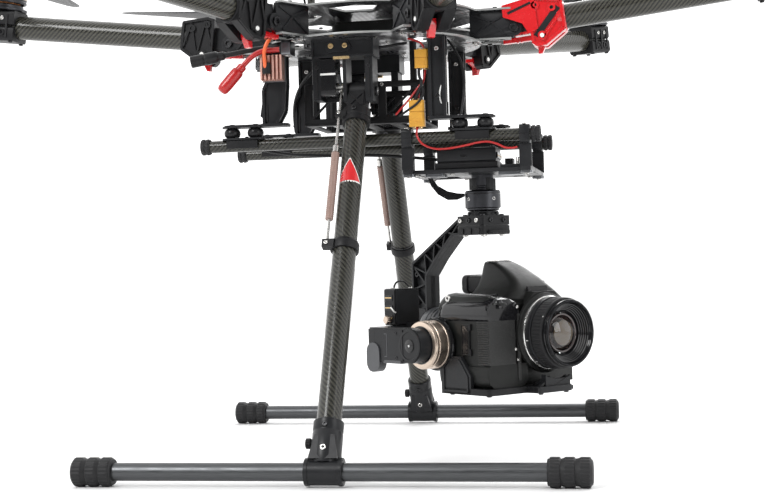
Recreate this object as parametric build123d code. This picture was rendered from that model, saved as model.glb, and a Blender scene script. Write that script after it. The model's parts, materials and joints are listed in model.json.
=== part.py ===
"""Folding hexacopter with retractable landing legs and a hanging camera gimbal.

Frame: +X is forward along the skids, +Y is the left side, +Z is up. The origin lies on the ground under
the centre of the body. Millimetres.
"""

from build123d import *
from math import atan2, cos, degrees, hypot, pi, radians, sin, tan
import os

# ---------------------------------------------------------------- driving dimensions
ARMS = 6
MOTOR_RADIUS = 405.0        # body centre to motor axis
DIHEDRAL = 6.6              # degrees that each arm rises
FOLD_RADIUS = 148.0         # body centre to the fold hinge
ARM_Z = 426.9               # height of the tube axis above the ground at the fold hinge
FOLD_DROP = 4.0             # fold pin below the tube axis
TUBE_R, TUBE_WALL = 12.5, 1.5
EAR_IN, EAR_OUT = 9.0, 12.0     # hinge ears either side of the arm's knuckle
PROP_RADIUS = 190.5         # 15 inch folding propeller
BLADE_PIVOT = 13.0          # motor axis to each blade bolt
PLATE_T = 2.0
LOWER_Z, UPPER_Z = 411.0, 441.0   # undersides of the two centre plates
PLATE_R = 112.0
FINGER_HALF, FINGER_END = 17.0, 146.0

LEG_PIVOT_Y, LEG_PIVOT_Z = 66.0, 360.0
SKID_Y, SKID_Z = 250.0, 13.0
SKID_HALF = 230.0           # half length over the rubber caps
SKID_R, SKID_CAP_R = 8.0, 13.0
LEG_R = 11.0

ROD_Y, ROD_Z, ROD_R = 64.0, 312.0, 6.0
ROD_BACK, ROD_FRONT = -163.0, 177.0
GIMBAL_PLATE_Z, GIMBAL_PLATE_T = 277.0, 4.0

PAN_X, HEADING = 111.0, -40.0     # pan axis, and where the camera looks at rest
ROLL_Z = 120.0                    # lens axis and roll axis
TILT_A, TILT_Z = 12.0, 111.0      # tilt axis, forward of the pan axis
FIT = 0.05                        # radial clearance of a running fit
GAP = 0.3                         # clear gap between bodies that move apart

os.makedirs("parts", exist_ok=True)


# ---------------------------------------------------------------- helpers
def block(x0, x1, y0, y1, z0, z1):
    """Box between two corners."""
    size = (abs(x1 - x0), abs(y1 - y0), abs(z1 - z0))
    centre = ((x0 + x1) / 2, (y0 + y1) / 2, (z0 + z1) / 2)
    return Pos(*centre) * Box(*size)


def rod(start, end, radius):
    """Round bar from one point to another."""
    a, b = Vector(*start), Vector(*end)
    length = (b - a).length
    return Plane(origin=(a + b) / 2, z_dir=b - a).location * Cylinder(radius, length)


def pipe(start, end, outer, inner):
    return rod(start, end, outer) - rod(start, end, inner)


def side_profile(points, half_width):
    """Outline in the X-Z plane, thickened equally both ways along Y."""
    outline = make_face(Polyline(*[(x, 0, z) for x, z in points], close=True))
    return extrude(outline, half_width, dir=(0, 1, 0), both=True)


def rounded(shape, radius, axis=Axis.Z):
    """Rounds the edges that run along one axis."""
    return fillet(shape.edges().filter_by(axis), radius)


def flex(points, radius, show=None):
    """Round lead along straight runs joined by the largest tangent arcs that they allow."""
    pts = [Vector(*p) for p in points]
    radii = []
    for before, here, after in zip(pts, pts[1:], pts[2:]):
        turn = radians((here - before).get_angle(after - here))
        run = min((here - before).length, (after - here).length)
        radii.append(0.45 * run / tan(turn / 2))
    path = FilletPolyline(*pts, radius=radii)
    lead = sweep(Plane(origin=path @ 0, z_dir=path % 0) * Circle(radius), path=path)
    if show:
        ideal = pi * radius**2 * path.length
        print(show, "length", round(path.length, 1), "radii", [round(r, 1) for r in radii],
              "volume ratio", round(lead.volume / ideal, 4))
    return lead


def write(node, *shapes):
    """Writes one sub-part: every solid of the given shapes."""
    solids = [s for shape in shapes for s in shape.solids()]
    export_step(Compound(label=node, children=solids), f"parts/{node}.step")


def around(k):
    """Turns a shape to the direction of arm k."""
    return Rot(0, 0, 360.0 / ARMS * k)


def arm_frame(k):
    """Arm k's own frame: X out along its tube, Z up, origin on the tube axis at the fold hinge."""
    return around(k) * Location((FOLD_RADIUS, 0, ARM_Z), (0, -DIHEDRAL, 0))


# ---------------------------------------------------------------- arms
MOTOR_X = (MOTOR_RADIUS - FOLD_RADIUS) / cos(radians(DIHEDRAL))
SLEEVE_START, SLEEVE_END = 16.0, 52.0
TUBE_START, TUBE_PAST = 20.0, 15.0        # tube from inside the sleeve to just past the motor axis
KNUCKLE_Y, EYE_R, PIN_R = 8.8, 8.0, 3.0   # hinge knuckle half width, eye and fold pin radius
LATCH_X, LATCH_Z = 26.0, -20.0
LATCH_SLOT, LATCH_PIN_R = 4.3, 1.5        # half width of the slot, and the lever's pin
MOUNT_TOP = 17.0
BELL_BOTTOM, BELL_TOP, BELL_R = 25.0, 46.0, 23.0
SHAFT_R = 2.5
BLADE_Z, BLADE_ROOT_T = 52.2, 6.0
HUB_LOW = BLADE_Z - BLADE_ROOT_T / 2 - GAP / 1.5
HUB_HIGH = BLADE_Z + BLADE_ROOT_T / 2 + GAP / 1.5
BOLT_R = 2.0


def arm_sleeve():
    """Moulded sleeve round the tube's root with a slot for the latch, and its hinge knuckle."""
    outline = [(SLEEVE_START, -23), (SLEEVE_START, 20), (24, 22), (SLEEVE_END, 16), (SLEEVE_END, -14),
               (30, -27), (20, -27)]
    body = rounded(side_profile(outline, 16), 3, Axis.X)
    body -= rod((TUBE_START, 0, 0), (SLEEVE_END, 0, 0), TUBE_R)
    body -= block(SLEEVE_START, 38, -LATCH_SLOT, LATCH_SLOT, -30, -12.6)
    body += rod((LATCH_X, -LATCH_SLOT, LATCH_Z), (LATCH_X, LATCH_SLOT, LATCH_Z), LATCH_PIN_R)
    knuckle = block(0, SLEEVE_START, -KNUCKLE_Y, KNUCKLE_Y, -12, 12)
    knuckle += rod((0, -KNUCKLE_Y, -FOLD_DROP), (0, KNUCKLE_Y, -FOLD_DROP), EYE_R)
    knuckle -= rod((0, -KNUCKLE_Y, -FOLD_DROP), (0, KNUCKLE_Y, -FOLD_DROP), PIN_R + FIT)
    return [body, knuckle]


def motor_mount():
    """Clamp on the tube's end, and the round plate on it that carries the motor."""
    clamp = rounded(block(MOTOR_X - 20, MOTOR_X + 19, -17, 17, -16, MOUNT_TOP), 4, Axis.X)
    clamp -= rod((MOTOR_X - 20, 0, 0), (MOTOR_X + TUBE_PAST, 0, 0), TUBE_R)
    return [clamp, Pos(MOTOR_X, 0, MOUNT_TOP + 1.5) * Cylinder(24, 3)]


def stator():
    base = Pos(MOTOR_X, 0, MOUNT_TOP + 5) * Cylinder(20, 4)
    core = Pos(MOTOR_X, 0, MOUNT_TOP + 15) * Cylinder(18, 16)
    bore = Pos(MOTOR_X, 0, MOUNT_TOP + 13) * Cylinder(SHAFT_R + FIT, 20)
    return base + core - bore


def arm():
    tube = pipe((TUBE_START, 0, 0), (MOTOR_X + TUBE_PAST, 0, 0), TUBE_R, TUBE_R - TUBE_WALL)
    return [*arm_sleeve(), tube, *motor_mount(), stator()]


def latch():
    """Lever on the underside of the sleeve: its nose hooks in the plate's slot, its tab is the trigger."""
    lever = [(30, -16.5), (14, -13.2), (-10, -13.2), (-10, -8.5), (-13.5, -8.5), (-13.5, -17.5), (14, -18.5),
             (21, -24), (20, -33), (24, -33), (30, -23.5)]
    bore = rod((LATCH_X, -4, LATCH_Z), (LATCH_X, 4, LATCH_Z), LATCH_PIN_R + FIT)
    return side_profile(lever, 3.5) - bore


def rotor():
    """Motor bell with its shaft, and the clamp plates and bolts that hold two folding blades."""
    bell = Pos(MOTOR_X, 0, (BELL_BOTTOM + BELL_TOP) / 2) * Cylinder(BELL_R, BELL_TOP - BELL_BOTTOM)
    bell = fillet(bell.edges().group_by(Axis.Z)[-1], 2)
    bell -= Pos(MOTOR_X, 0, BELL_BOTTOM + 8) * Cylinder(BELL_R - 2, 16)
    bell += rod((MOTOR_X, 0, MOUNT_TOP + 5), (MOTOR_X, 0, BELL_TOP), SHAFT_R)
    hub = rounded(Pos(MOTOR_X, 0, 0) * block(-8, 8, -20, 20, BELL_TOP, HUB_LOW), 7)
    cap = rounded(Pos(MOTOR_X, 0, 0) * block(-8, 8, -20, 20, HUB_HIGH, HUB_HIGH + 2.5), 7)
    clamp = hub + cap + rod((MOTOR_X, 0, HUB_LOW), (MOTOR_X, 0, HUB_HIGH), 4)
    for side in (-1, 1):
        y = side * BLADE_PIVOT
        clamp += rod((MOTOR_X, y, HUB_LOW - 1), (MOTOR_X, y, HUB_HIGH + 4), BOLT_R)
    return [bell, clamp]


def blade(side, hand):
    """One propeller blade on the +Y (side 1) or -Y side. hand 1 turns counter-clockwise from above."""
    span = PROP_RADIUS - BLADE_PIVOT
    # share of the span, chord, thickness and pitch of each section
    stations = [(0.07, 9, 4.6, 4), (0.28, 30, 3.6, 19), (0.62, 25, 2.4, 12), (0.93, 15, 1.5, 8),
                (1.0, 6, 0.8, 7)]
    sections = []
    for share, chord, thick, pitch in stations:
        plane = Plane(origin=(0, share * span, 0), x_dir=(1, 0, 0), z_dir=(0, 1, 0))
        half, rise = chord / 2, thick / 2
        lens_shape = make_face(ThreePointArc((-half, 0), (0, rise), (half, 0))
                               + ThreePointArc((half, 0), (0, -rise), (-half, 0)))
        sections.append(plane * (Rot(0, 0, hand * pitch) * lens_shape))
    wing = loft(sections)
    boss = Cylinder(6.5, BLADE_ROOT_T) + block(-4.5, 4.5, 0, 0.08 * span, -2.3, 2.3)
    shape = boss + wing - Cylinder(BOLT_R + FIT, BLADE_ROOT_T)
    turn = Rot(0, 0, 0 if side > 0 else 180)
    return Pos(MOTOR_X, side * BLADE_PIVOT, BLADE_Z) * turn * shape


def build_arms():
    one_arm, one_rotor, one_latch = arm(), rotor(), latch()
    for k in range(ARMS):
        place = arm_frame(k)
        hand = 1 if k % 2 == 0 else -1
        write(f"arm_{k}", *[place * piece for piece in one_arm])
        write(f"rotor_{k}", *[place * piece for piece in one_rotor])
        write(f"latch_{k}", place * one_latch)
        write(f"blade_{k}_a", place * blade(1, hand))
        write(f"blade_{k}_b", place * blade(-1, hand))


# ---------------------------------------------------------------- centre frame
PIVOT_R = FOLD_RADIUS + FOLD_DROP * sin(radians(DIHEDRAL))
PIVOT_Z = ARM_Z - FOLD_DROP * cos(radians(DIHEDRAL))
WEB_IN, WEB_OUT = 104.0, 112.0
SLOT_IN = 114.0
SCREW_R, SCREW_HEAD_R = 1.5, 2.7
SCREW_X, SCREW_Y, SCREW_DEEP = 108.0, 5.0, 6.0
DECK_HALF, DECK_HOLE_R = 30.0, 1.6      # four accessory holes in the upper plate
MAST_X, PUCK_Z, PUCK_T = -62.0, 497.0, 14.0


def centre_plate(z, deck_holes):
    """Round plate, and the two prongs of the slotted finger at each arm."""
    plate = Pos(0, 0, z + PLATE_T / 2) * Cylinder(PLATE_R, PLATE_T)
    prongs = []
    for k in range(ARMS):
        plate += around(k) * block(60, SLOT_IN, -FINGER_HALF, FINGER_HALF, z, z + PLATE_T)
        for side in (-1, 1):
            inner, outer = side * EAR_IN, side * FINGER_HALF
            prongs.append(around(k) * block(SLOT_IN, FINGER_END, inner, outer, z, z + PLATE_T))
    for k in range(ARMS):
        window = [(56, -14), (84, -24), (90, 0), (84, 24), (56, 14)]
        outline = make_face(Polyline(*window, close=True))
        plate -= around(k + 0.5) * Pos(0, 0, z) * extrude(outline, PLATE_T)
        for y in (-SCREW_Y, SCREW_Y):
            plate -= around(k) * rod((SCREW_X, y, z), (SCREW_X, y, z + PLATE_T), SCREW_R)
    if deck_holes:
        for x in (-DECK_HALF, DECK_HALF):
            for y in (-DECK_HALF, DECK_HALF):
                plate -= rod((x, y, z), (x, y, z + PLATE_T), DECK_HOLE_R)
    return [plate, *prongs]


def arm_bracket():
    """Web between the two plates, and a hinge ear on each side of it."""
    low, high = LOWER_Z + PLATE_T, UPPER_Z
    web = block(WEB_IN, WEB_OUT, -EAR_IN, EAR_IN, low, high)
    for y in (-SCREW_Y, SCREW_Y):
        web -= rod((SCREW_X, y, low), (SCREW_X, y, low + SCREW_DEEP), SCREW_R)
        web -= rod((SCREW_X, y, high - SCREW_DEEP), (SCREW_X, y, high), SCREW_R)
    ears = []
    for side in (-1, 1):
        inner, outer = side * EAR_IN, side * EAR_OUT
        ear = block(WEB_IN, FOLD_RADIUS, inner, outer, low, high)
        ear += rod((PIVOT_R, inner, PIVOT_Z), (PIVOT_R, outer, PIVOT_Z), EYE_R)
        ears.append(ear - rod((PIVOT_R, inner, PIVOT_Z), (PIVOT_R, outer, PIVOT_Z), PIN_R))
    return [web, *ears]


def frame_fasteners():
    """For each arm, the fold pin and the four screws through the plates."""
    low, high = LOWER_Z, UPPER_Z + PLATE_T
    pin = rod((PIVOT_R, -EAR_OUT, PIVOT_Z), (PIVOT_R, EAR_OUT, PIVOT_Z), PIN_R)
    for side in (-1, 1):
        pin += rod((PIVOT_R, side * EAR_OUT, PIVOT_Z), (PIVOT_R, side * (EAR_OUT + 2), PIVOT_Z), 4.5)
    screws = []
    for y in (-SCREW_Y, SCREW_Y):
        screws.append(rod((SCREW_X, y, low - 2), (SCREW_X, y, low), SCREW_HEAD_R)
                      + rod((SCREW_X, y, low), (SCREW_X, y, low + PLATE_T + SCREW_DEEP), SCREW_R))
        screws.append(rod((SCREW_X, y, high), (SCREW_X, y, high + 2), SCREW_HEAD_R)
                      + rod((SCREW_X, y, high - PLATE_T - SCREW_DEEP), (SCREW_X, y, high), SCREW_R))
    return [around(k) * piece for k in range(ARMS) for piece in [pin, *screws]]


def build_centre():
    write("centre_plates", *centre_plate(LOWER_Z, False), *centre_plate(UPPER_Z, True))
    write("arm_brackets", *[around(k) * piece for k in range(ARMS) for piece in arm_bracket()])
    write("frame_fasteners", *frame_fasteners())
    deck = UPPER_Z + PLATE_T
    mast = rod((MAST_X, 0, deck + 3), (MAST_X, 0, PUCK_Z), 4)
    foot = Pos(MAST_X, 0, deck + 1.5) * Cylinder(11, 3)
    puck = fillet((Pos(MAST_X, 0, PUCK_Z + PUCK_T / 2) * Cylinder(29, PUCK_T)).edges(), 4)
    write("gps_antenna", foot, mast, puck)


# ---------------------------------------------------------------- retractable legs
LEG_RUN = hypot(SKID_Y - LEG_PIVOT_Y, LEG_PIVOT_Z - SKID_Z)
LEG_LEAN = degrees(atan2(SKID_Y - LEG_PIVOT_Y, LEG_PIVOT_Z - SKID_Z))
KNUCKLE_HALF = 9.0
AXLE_R = 3.0
SPRING_X, SPRING_OUT = -15.5, 8.0
RING_Z = -174.0


def leg_frame(side):
    """Frame at the leg's axle, with -Z down the leg."""
    return Location((0, side * LEG_PIVOT_Y, LEG_PIVOT_Z), (side * LEG_LEAN, 0, 0))


def leg(side):
    """Knuckle with collar, carbon tube, ring clamp, T-joint and the retraction spring beside the tube."""
    out = side * SPRING_OUT
    spring_rod = rod((SPRING_X, out, -4), (SPRING_X, out, -66), 1.5)
    top = rod((-KNUCKLE_HALF, 0, 0), (KNUCKLE_HALF, 0, 0), 10)
    top += block(-KNUCKLE_HALF, KNUCKLE_HALF, -9, 9, -24, 0)
    top += rod((0, 0, -22), (0, 0, -38), 13.5)
    top += block(SPRING_X - 3.5, -8, out - 3.5, out + 3.5, -34, -28)
    top -= rod((-KNUCKLE_HALF, 0, 0), (KNUCKLE_HALF, 0, 0), AXLE_R + FIT)
    top -= rod((0, 0, -28), (0, 0, -38), LEG_R)
    top -= rod((SPRING_X, out, -28), (SPRING_X, out, -34), 1.5)
    tube = pipe((0, 0, -28), (0, 0, 12 - LEG_RUN), LEG_R, LEG_R - 1.5)
    ring = rod((0, 0, RING_Z - 4), (0, 0, RING_Z + 4), 13.5)
    ring += block(SPRING_X - 4, -8, out - 4, out + 4, RING_Z - 4, RING_Z + 4)
    ring -= rod((0, 0, RING_Z - 4), (0, 0, RING_Z + 4), LEG_R)
    casing = rod((SPRING_X, out, -66), (SPRING_X, out, -74), 3.2)
    casing += rod((SPRING_X, out, -74), (SPRING_X, out, -148), 4)
    casing += rod((SPRING_X, out, -148), (SPRING_X, out, RING_Z + 4), 1.5)
    foot = rod((0, 0, 46 - LEG_RUN), (0, 0, 6 - LEG_RUN), 13.5)
    foot += rod((-17, 0, -LEG_RUN), (17, 0, -LEG_RUN), 11.5)
    foot -= rod((0, 0, 46 - LEG_RUN), (0, 0, 12 - LEG_RUN), LEG_R)
    foot -= rod((-17, 0, -LEG_RUN), (17, 0, -LEG_RUN), SKID_R)
    return [leg_frame(side) * piece for piece in (top, tube, ring, spring_rod, casing, foot)]


def skid(side):
    """Skid tube with a ribbed rubber cap on each end."""
    y = side * SKID_Y
    tube = pipe((4 - SKID_HALF, y, SKID_Z), (SKID_HALF - 4, y, SKID_Z), SKID_R, SKID_R - 1.2)
    pieces = [tube]
    for end in (-1, 1):
        tip = end * SKID_HALF
        cap = rod((tip - end * 38, y, SKID_Z), (tip, y, SKID_Z), SKID_CAP_R - 1.6)
        for start in (2, 15, 28):
            cap += rod((tip - end * start, y, SKID_Z), (tip - end * (start + 9), y, SKID_Z), SKID_CAP_R)
        cap -= rod((tip - end * 38, y, SKID_Z), (tip - end * 4, y, SKID_Z), SKID_R)
        pieces.append(cap)
    return pieces


def retract_mount(side):
    """Fixed portal under the lower plate, with its servo and the leg's axle."""
    inner, outer = side * 54, side * 84
    axle = rod((-16, side * LEG_PIVOT_Y, LEG_PIVOT_Z), (16, side * LEG_PIVOT_Y, LEG_PIVOT_Z), AXLE_R)
    portal = block(-43, 19, inner, outer, 393, LOWER_Z)
    portal += block(-43, -35, inner, outer, 352, 393)
    cheek = KNUCKLE_HALF + GAP
    portal += block(-cheek - 3.5, -cheek, side * 55, side * 78, 349, 393)
    portal += block(cheek, 17, side * 55, side * 78, 349, 393)
    portal -= axle
    servo = rounded(block(-34.9, -20, side * 57, side * 82, 356, 393), 2, Axis.X)
    return [portal, servo, axle]


def build_legs():
    write("retract_mounts", *retract_mount(1), *retract_mount(-1))
    for side, word in ((1, "left"), (-1, "right")):
        write(f"leg_{word}", *leg(side))
        write(f"skid_{word}", *skid(side))


# ---------------------------------------------------------------- rods, dampers and equipment
DAMPER_TOP, DAMPER_BOTTOM = 329.5, 319.5
BACK_BALLS, FRONT_BALLS = (-131.0, -107.0), (99.0, 124.0)
BALL_R = 7.2
TRAY_Z, TRAY_T = 330.0, 2.0


def gimbal_rods():
    pieces = []
    for side in (-1, 1):
        y = side * ROD_Y
        pieces.append(pipe((ROD_BACK + 3, y, ROD_Z), (ROD_FRONT - 3, y, ROD_Z), ROD_R, ROD_R - 1.2))
        for tip, inward in ((ROD_BACK, 1), (ROD_FRONT, -1)):
            cap = rod((tip, y, ROD_Z), (tip + inward * 9, y, ROD_Z), 7.5)
            for start in (0, 5):
                cap += rod((tip + inward * start, y, ROD_Z), (tip + inward * (start + 3), y, ROD_Z), 8.2)
            cap -= rod((tip + inward * 3, y, ROD_Z), (tip + inward * 9, y, ROD_Z), ROD_R)
            pieces.append(cap)
        for back, front in (BACK_BALLS, FRONT_BALLS):
            saddle = block(back - 8, front + 8, y - 9, y + 9, ROD_Z - 3, DAMPER_BOTTOM)
            pieces.append(saddle - rod((back - 8, y, ROD_Z), (front + 8, y, ROD_Z), ROD_R))
    return pieces


def damper_balls():
    middle = (DAMPER_TOP + DAMPER_BOTTOM) / 2
    slab = Box(20, 20, DAMPER_TOP - DAMPER_BOTTOM)
    ball = Sphere(BALL_R) & slab
    return [Pos(x, side * ROD_Y, middle) * ball for side in (-1, 1) for x in BACK_BALLS + FRONT_BALLS]


def hanger_brackets():
    """Four struts under the lower plate, each with the top plate of a pair of dampers."""
    back = [(-142, DAMPER_TOP), (-84, DAMPER_TOP), (-76, 345), (-74, 371), (-74, LOWER_Z), (-91, LOWER_Z),
            (-91, 376), (-96, 366), (-96, 332.5), (-142, 332.5)]
    front = [(72, DAMPER_TOP), (134, DAMPER_TOP), (134, 332.5), (92, 332.5), (86, 342), (86, LOWER_Z),
             (72, LOWER_Z)]
    pieces = []
    for side in (-1, 1):
        for outline in (back, front):
            strut = Pos(0, side * ROD_Y, 0) * side_profile(outline, 8)
            pieces.append(strut)
    return pieces


def equipment_tray():
    """Slotted tray with lattice sides, hung from the lower plate on four posts."""
    half_x, half_y, wall, high = 60.0, 46.0, 2.5, 42.0
    floor_top = TRAY_Z + TRAY_T
    floor = block(-half_x, half_x, -half_y, half_y, TRAY_Z, floor_top)
    for x in (-42, -14, 14, 42):
        floor -= block(x - 9, x + 9, -34, 34, TRAY_Z, floor_top)
    pieces = [floor]
    for side in (-1, 1):
        y = side * half_y
        lattice = block(-half_x, half_x, y - side * wall, y, floor_top, TRAY_Z + high)
        for x in (-38, 0, 38):
            lattice -= block(x - 15, x + 15, y - side * wall, y, TRAY_Z + 7, TRAY_Z + high - 6)
        pieces.append(lattice)
        for x in (-50, 50):
            pieces.append(rod((x, side * 38, floor_top), (x, side * 38, LOWER_Z), 3.5))
    return pieces


def power_module():
    """Finned box on the rear right strut."""
    x0, x1, y0, y1, z0, z1 = -95, -73, -84, -ROD_Y - 8, 374, 399
    box = block(x0, x1, y0, y1, z0, z1)
    for i in range(5):
        x = x0 + 3 + 4 * i
        box -= block(x, x + 2, y0, y0 + 5, z0, z1)
    return box


TERMINAL_X = -72.0          # rear face of the terminal block that the battery leads leave
BLACK_LEAD = [(-72, -77, 407), (-86, -77, 407), (-101, -80, 405.5), (-116, -84, 402.5), (-130, -87, 400)]
RED_LEAD = [(-72, -84, 403.4), (-82, -84, 403.4), (-93, -86, 402.6), (-103, -88.5, 397), (-110, -91, 388.5)]
LEAD_R = 2.6


def lead_plug(route, radius, length):
    """Bullet plug in a sleeve on the end of a battery lead."""
    tip, before = Vector(*route[-1]), Vector(*route[-2])
    way = (tip - before).normalized()
    thin = rod(tuple(tip), tuple(tip + way * 7), radius - 1.6)
    return thin + rod(tuple(tip + way * 7), tuple(tip + way * length), radius)


def power_wiring():
    """Held wiring: terminal block, two pairs of power connectors, their wires, a flat cable, a servo lead."""
    terminal = rounded(block(TERMINAL_X, TERMINAL_X + 10, -92, -72.2, 397, LOWER_Z), 2, Axis.X)
    top = rounded(block(57, 71, -70, -62, 380, 398), 1.5, Axis.Z)
    low = rounded(block(50, 65, -70, -62, 323, 349), 1.5, Axis.Z)
    red = flex([(66, -64, 380), (66, -64.5, 372), (62, -65, 362), (61, -65, 349)], 1.4)
    black = flex([(61, -68, 380), (61, -68.5, 371), (56, -69, 360), (55, -68, 349)], 1.4)
    long_red = flex([(57.5, -66, 323), (57.5, -71, 319), (58, -76, 313), (64, -77, 304), (78, -77, 299),
                     (100, -77, 301), (124, -77, 306), (136, -77, 303), (146, -75, 297), (155, -73, 299)], 1.2)
    orange = flex([(-89, -86.2, 386), (-89, -89, 393), (-88, -92.5, 403), (-84, -91, 412), (-78, -84, 420),
                   (-69, -74, 424.5), (-60, -64, 426)], 1.9)
    ribbon = side_profile([(58, 277), (60, 270), (66, 262.5), (74, 258), (84, 256), (92.8, 258), (92.8, 257),
                           (84, 255), (74, 256.8), (65.4, 261.5), (59, 269.5), (57, 277)], 5)
    return [terminal, top, low, red, black, long_red, orange, ribbon]


def build_equipment():
    write("gimbal_rods", *gimbal_rods())
    write("damper_balls", *damper_balls())
    write("hanger_brackets", *hanger_brackets())
    write("equipment_tray", *equipment_tray())
    controller = rounded(block(-36, 36, -24, 24, LOWER_Z + PLATE_T, 437), 3)
    write("control_electronics", controller, power_module())
    write("power_wiring", *power_wiring())
    write("lead_black", flex(BLACK_LEAD, LEAD_R, "black lead"))
    write("lead_red", flex(RED_LEAD, LEAD_R, "red lead"))
    write("plug_black", lead_plug(BLACK_LEAD, 6, 34))
    write("plug_red", lead_plug(RED_LEAD, 6, 34))


# ---------------------------------------------------------------- gimbal
def gimbal_plate():
    """Plate that the gimbal hangs from, with four posts and the clamps on them round the rods."""
    z0, z1 = GIMBAL_PLATE_Z, GIMBAL_PLATE_Z + GIMBAL_PLATE_T
    clamp_half = 9
    plate = block(42, 167, -60, 60, z0, z1)
    posts, clamps = [], []
    for x0, x1 in ((42, 52), (157, 167)):
        for y in (-ROD_Y, ROD_Y):
            plate += block(x0, x1, y - 4, y + 4, z0, z1)
            posts.append(block(x0, x1, y - 4, y + 4, z1, ROD_Z - clamp_half))
            clamp = block(x0, x1, y - clamp_half, y + clamp_half, ROD_Z - clamp_half, ROD_Z + clamp_half)
            clamps.append(rounded(clamp, 3, Axis.X) - rod((x0, y, ROD_Z), (x1, y, ROD_Z), ROD_R))
    plate -= block(60, 84, 6, 46, z0, z1)
    plate -= block(138, 150, -46, 46, z0, z1)
    return [plate, *posts, *clamps]


def camera_frame():
    """Frame on the pan axis: X is where the camera looks, Y is the camera's left."""
    return Location((PAN_X, 0, 0), (0, 0, HEADING))


PAN_LOW, PAN_TOP, PAN_SHAFT_R = 241.0, 262.0, 5.0


def pan_motor():
    """Housing under the gimbal plate on a narrower neck, bored for the pan shaft."""
    neck = rod((PAN_X, 0, PAN_TOP), (PAN_X, 0, GIMBAL_PLATE_Z), 11)
    housing = fillet(rod((PAN_X, 0, PAN_LOW), (PAN_X, 0, PAN_TOP), 18).edges(), 1.5)
    return neck + housing - rod((PAN_X, 0, PAN_LOW), (PAN_X, 0, PAN_TOP - 4), PAN_SHAFT_R + FIT)


def gimbal_arm():
    """Turns with pan: hub, clamp block, cranked beam down behind the camera, and the roll motor's case."""
    hub = rod((0, 0, 236), (0, 0, PAN_LOW - GAP), 15.5) + rod((0, 0, 236), (0, 0, PAN_TOP - 5), PAN_SHAFT_R)
    clamp = rounded(block(-20, 20, -20, 20, 217, 236), 5)
    outline = [(-16, 236), (-26, 236), (-105, 190), (-105, 98), (-81, 98), (-81, 176), (-64, 194),
               (-38, 217), (-16, 217)]
    beam = side_profile(outline, 9)
    case = rod((-81, 0, ROLL_Z), (-60, 0, ROLL_Z), 23)
    bore = rod((-79, 0, ROLL_Z), (-60, 0, ROLL_Z), 4 + FIT)
    return hub + clamp + beam + case - bore


def roll_frame():
    """Turns with roll: disc and shaft, bar behind the camera, side arm and the tilt motor's shaft."""
    bar = block(-52, -42, 16, -112, 92, 128)
    side_arm = block(-52, TILT_A, -98, -112, TILT_Z - 17, TILT_Z + 17)
    side_arm += rod((TILT_A, -98, TILT_Z), (TILT_A, -112, TILT_Z), 17)
    frame = bar + side_arm
    frame = fillet(frame.edges().filter_by(Axis.Z).sort_by(Axis.X)[:1], 4)
    frame += rod((-60 + GAP, 0, ROLL_Z), (-52, 0, ROLL_Z), 23)
    frame += rod((-77, 0, ROLL_Z), (-52, 0, ROLL_Z), 4)
    frame += rod((TILT_A, -80, TILT_Z), (TILT_A, -98, TILT_Z), 4)
    module = rounded(block(-60, -42, -52, -84, 128, 165), 2, Axis.X)
    knob = rod((-51, -84, 134), (-51, -90, 134), 4)
    return [frame, module, knob]


def tilt_tray():
    """Turns with tilt: motor bell, side plate, and the tray under the camera with its lens rest."""
    bell = rod((TILT_A, -79, TILT_Z), (TILT_A, -98 + GAP, TILT_Z), 23.4)
    bell -= rod((TILT_A, -79, TILT_Z), (TILT_A, -98, TILT_Z), 4 + FIT)
    side = rod((TILT_A, -75, TILT_Z), (TILT_A, -79, TILT_Z), 26)
    side += block(TILT_A + 8, 62, -75, -79, 64, 100)
    tray = block(20, 88, 30, -79, 64, 70)
    rest = block(84, 104, 16, -30, 64, 70) + block(95, 101, 14, -18, 64, 81)
    return [bell, side + tray + rest]


BODY_BACK, BODY_FRONT, MOUNT_FACE = 5.0, 84.0, 90.0      # along the view direction
BODY_LEFT, BODY_RIGHT, BODY_BASE, SHOULDER_Z = 66.0, -74.0, 70.0, 160.0
GRIP_INNER, GRIP_FRONT, GRIP_Z = -42.0, 95.0, 151.0
HUMP_HALF, RIDGE_HALF, HUMP_TOP = 36.0, 15.0, 190.0
DIAL_X, DIAL_Y, DIAL_R, DIAL_SHAFT_R = 24.0, 48.0, 9.0, 2.5
BUTTON_X, BUTTON_Y, BUTTON_R = 82.0, -60.0, 5.0
BARREL_R, CORE_R, RING_R, RIM_R, HOLLOW_R = 36.0, 31.0, 34.0, 32.0, 24.0


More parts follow.
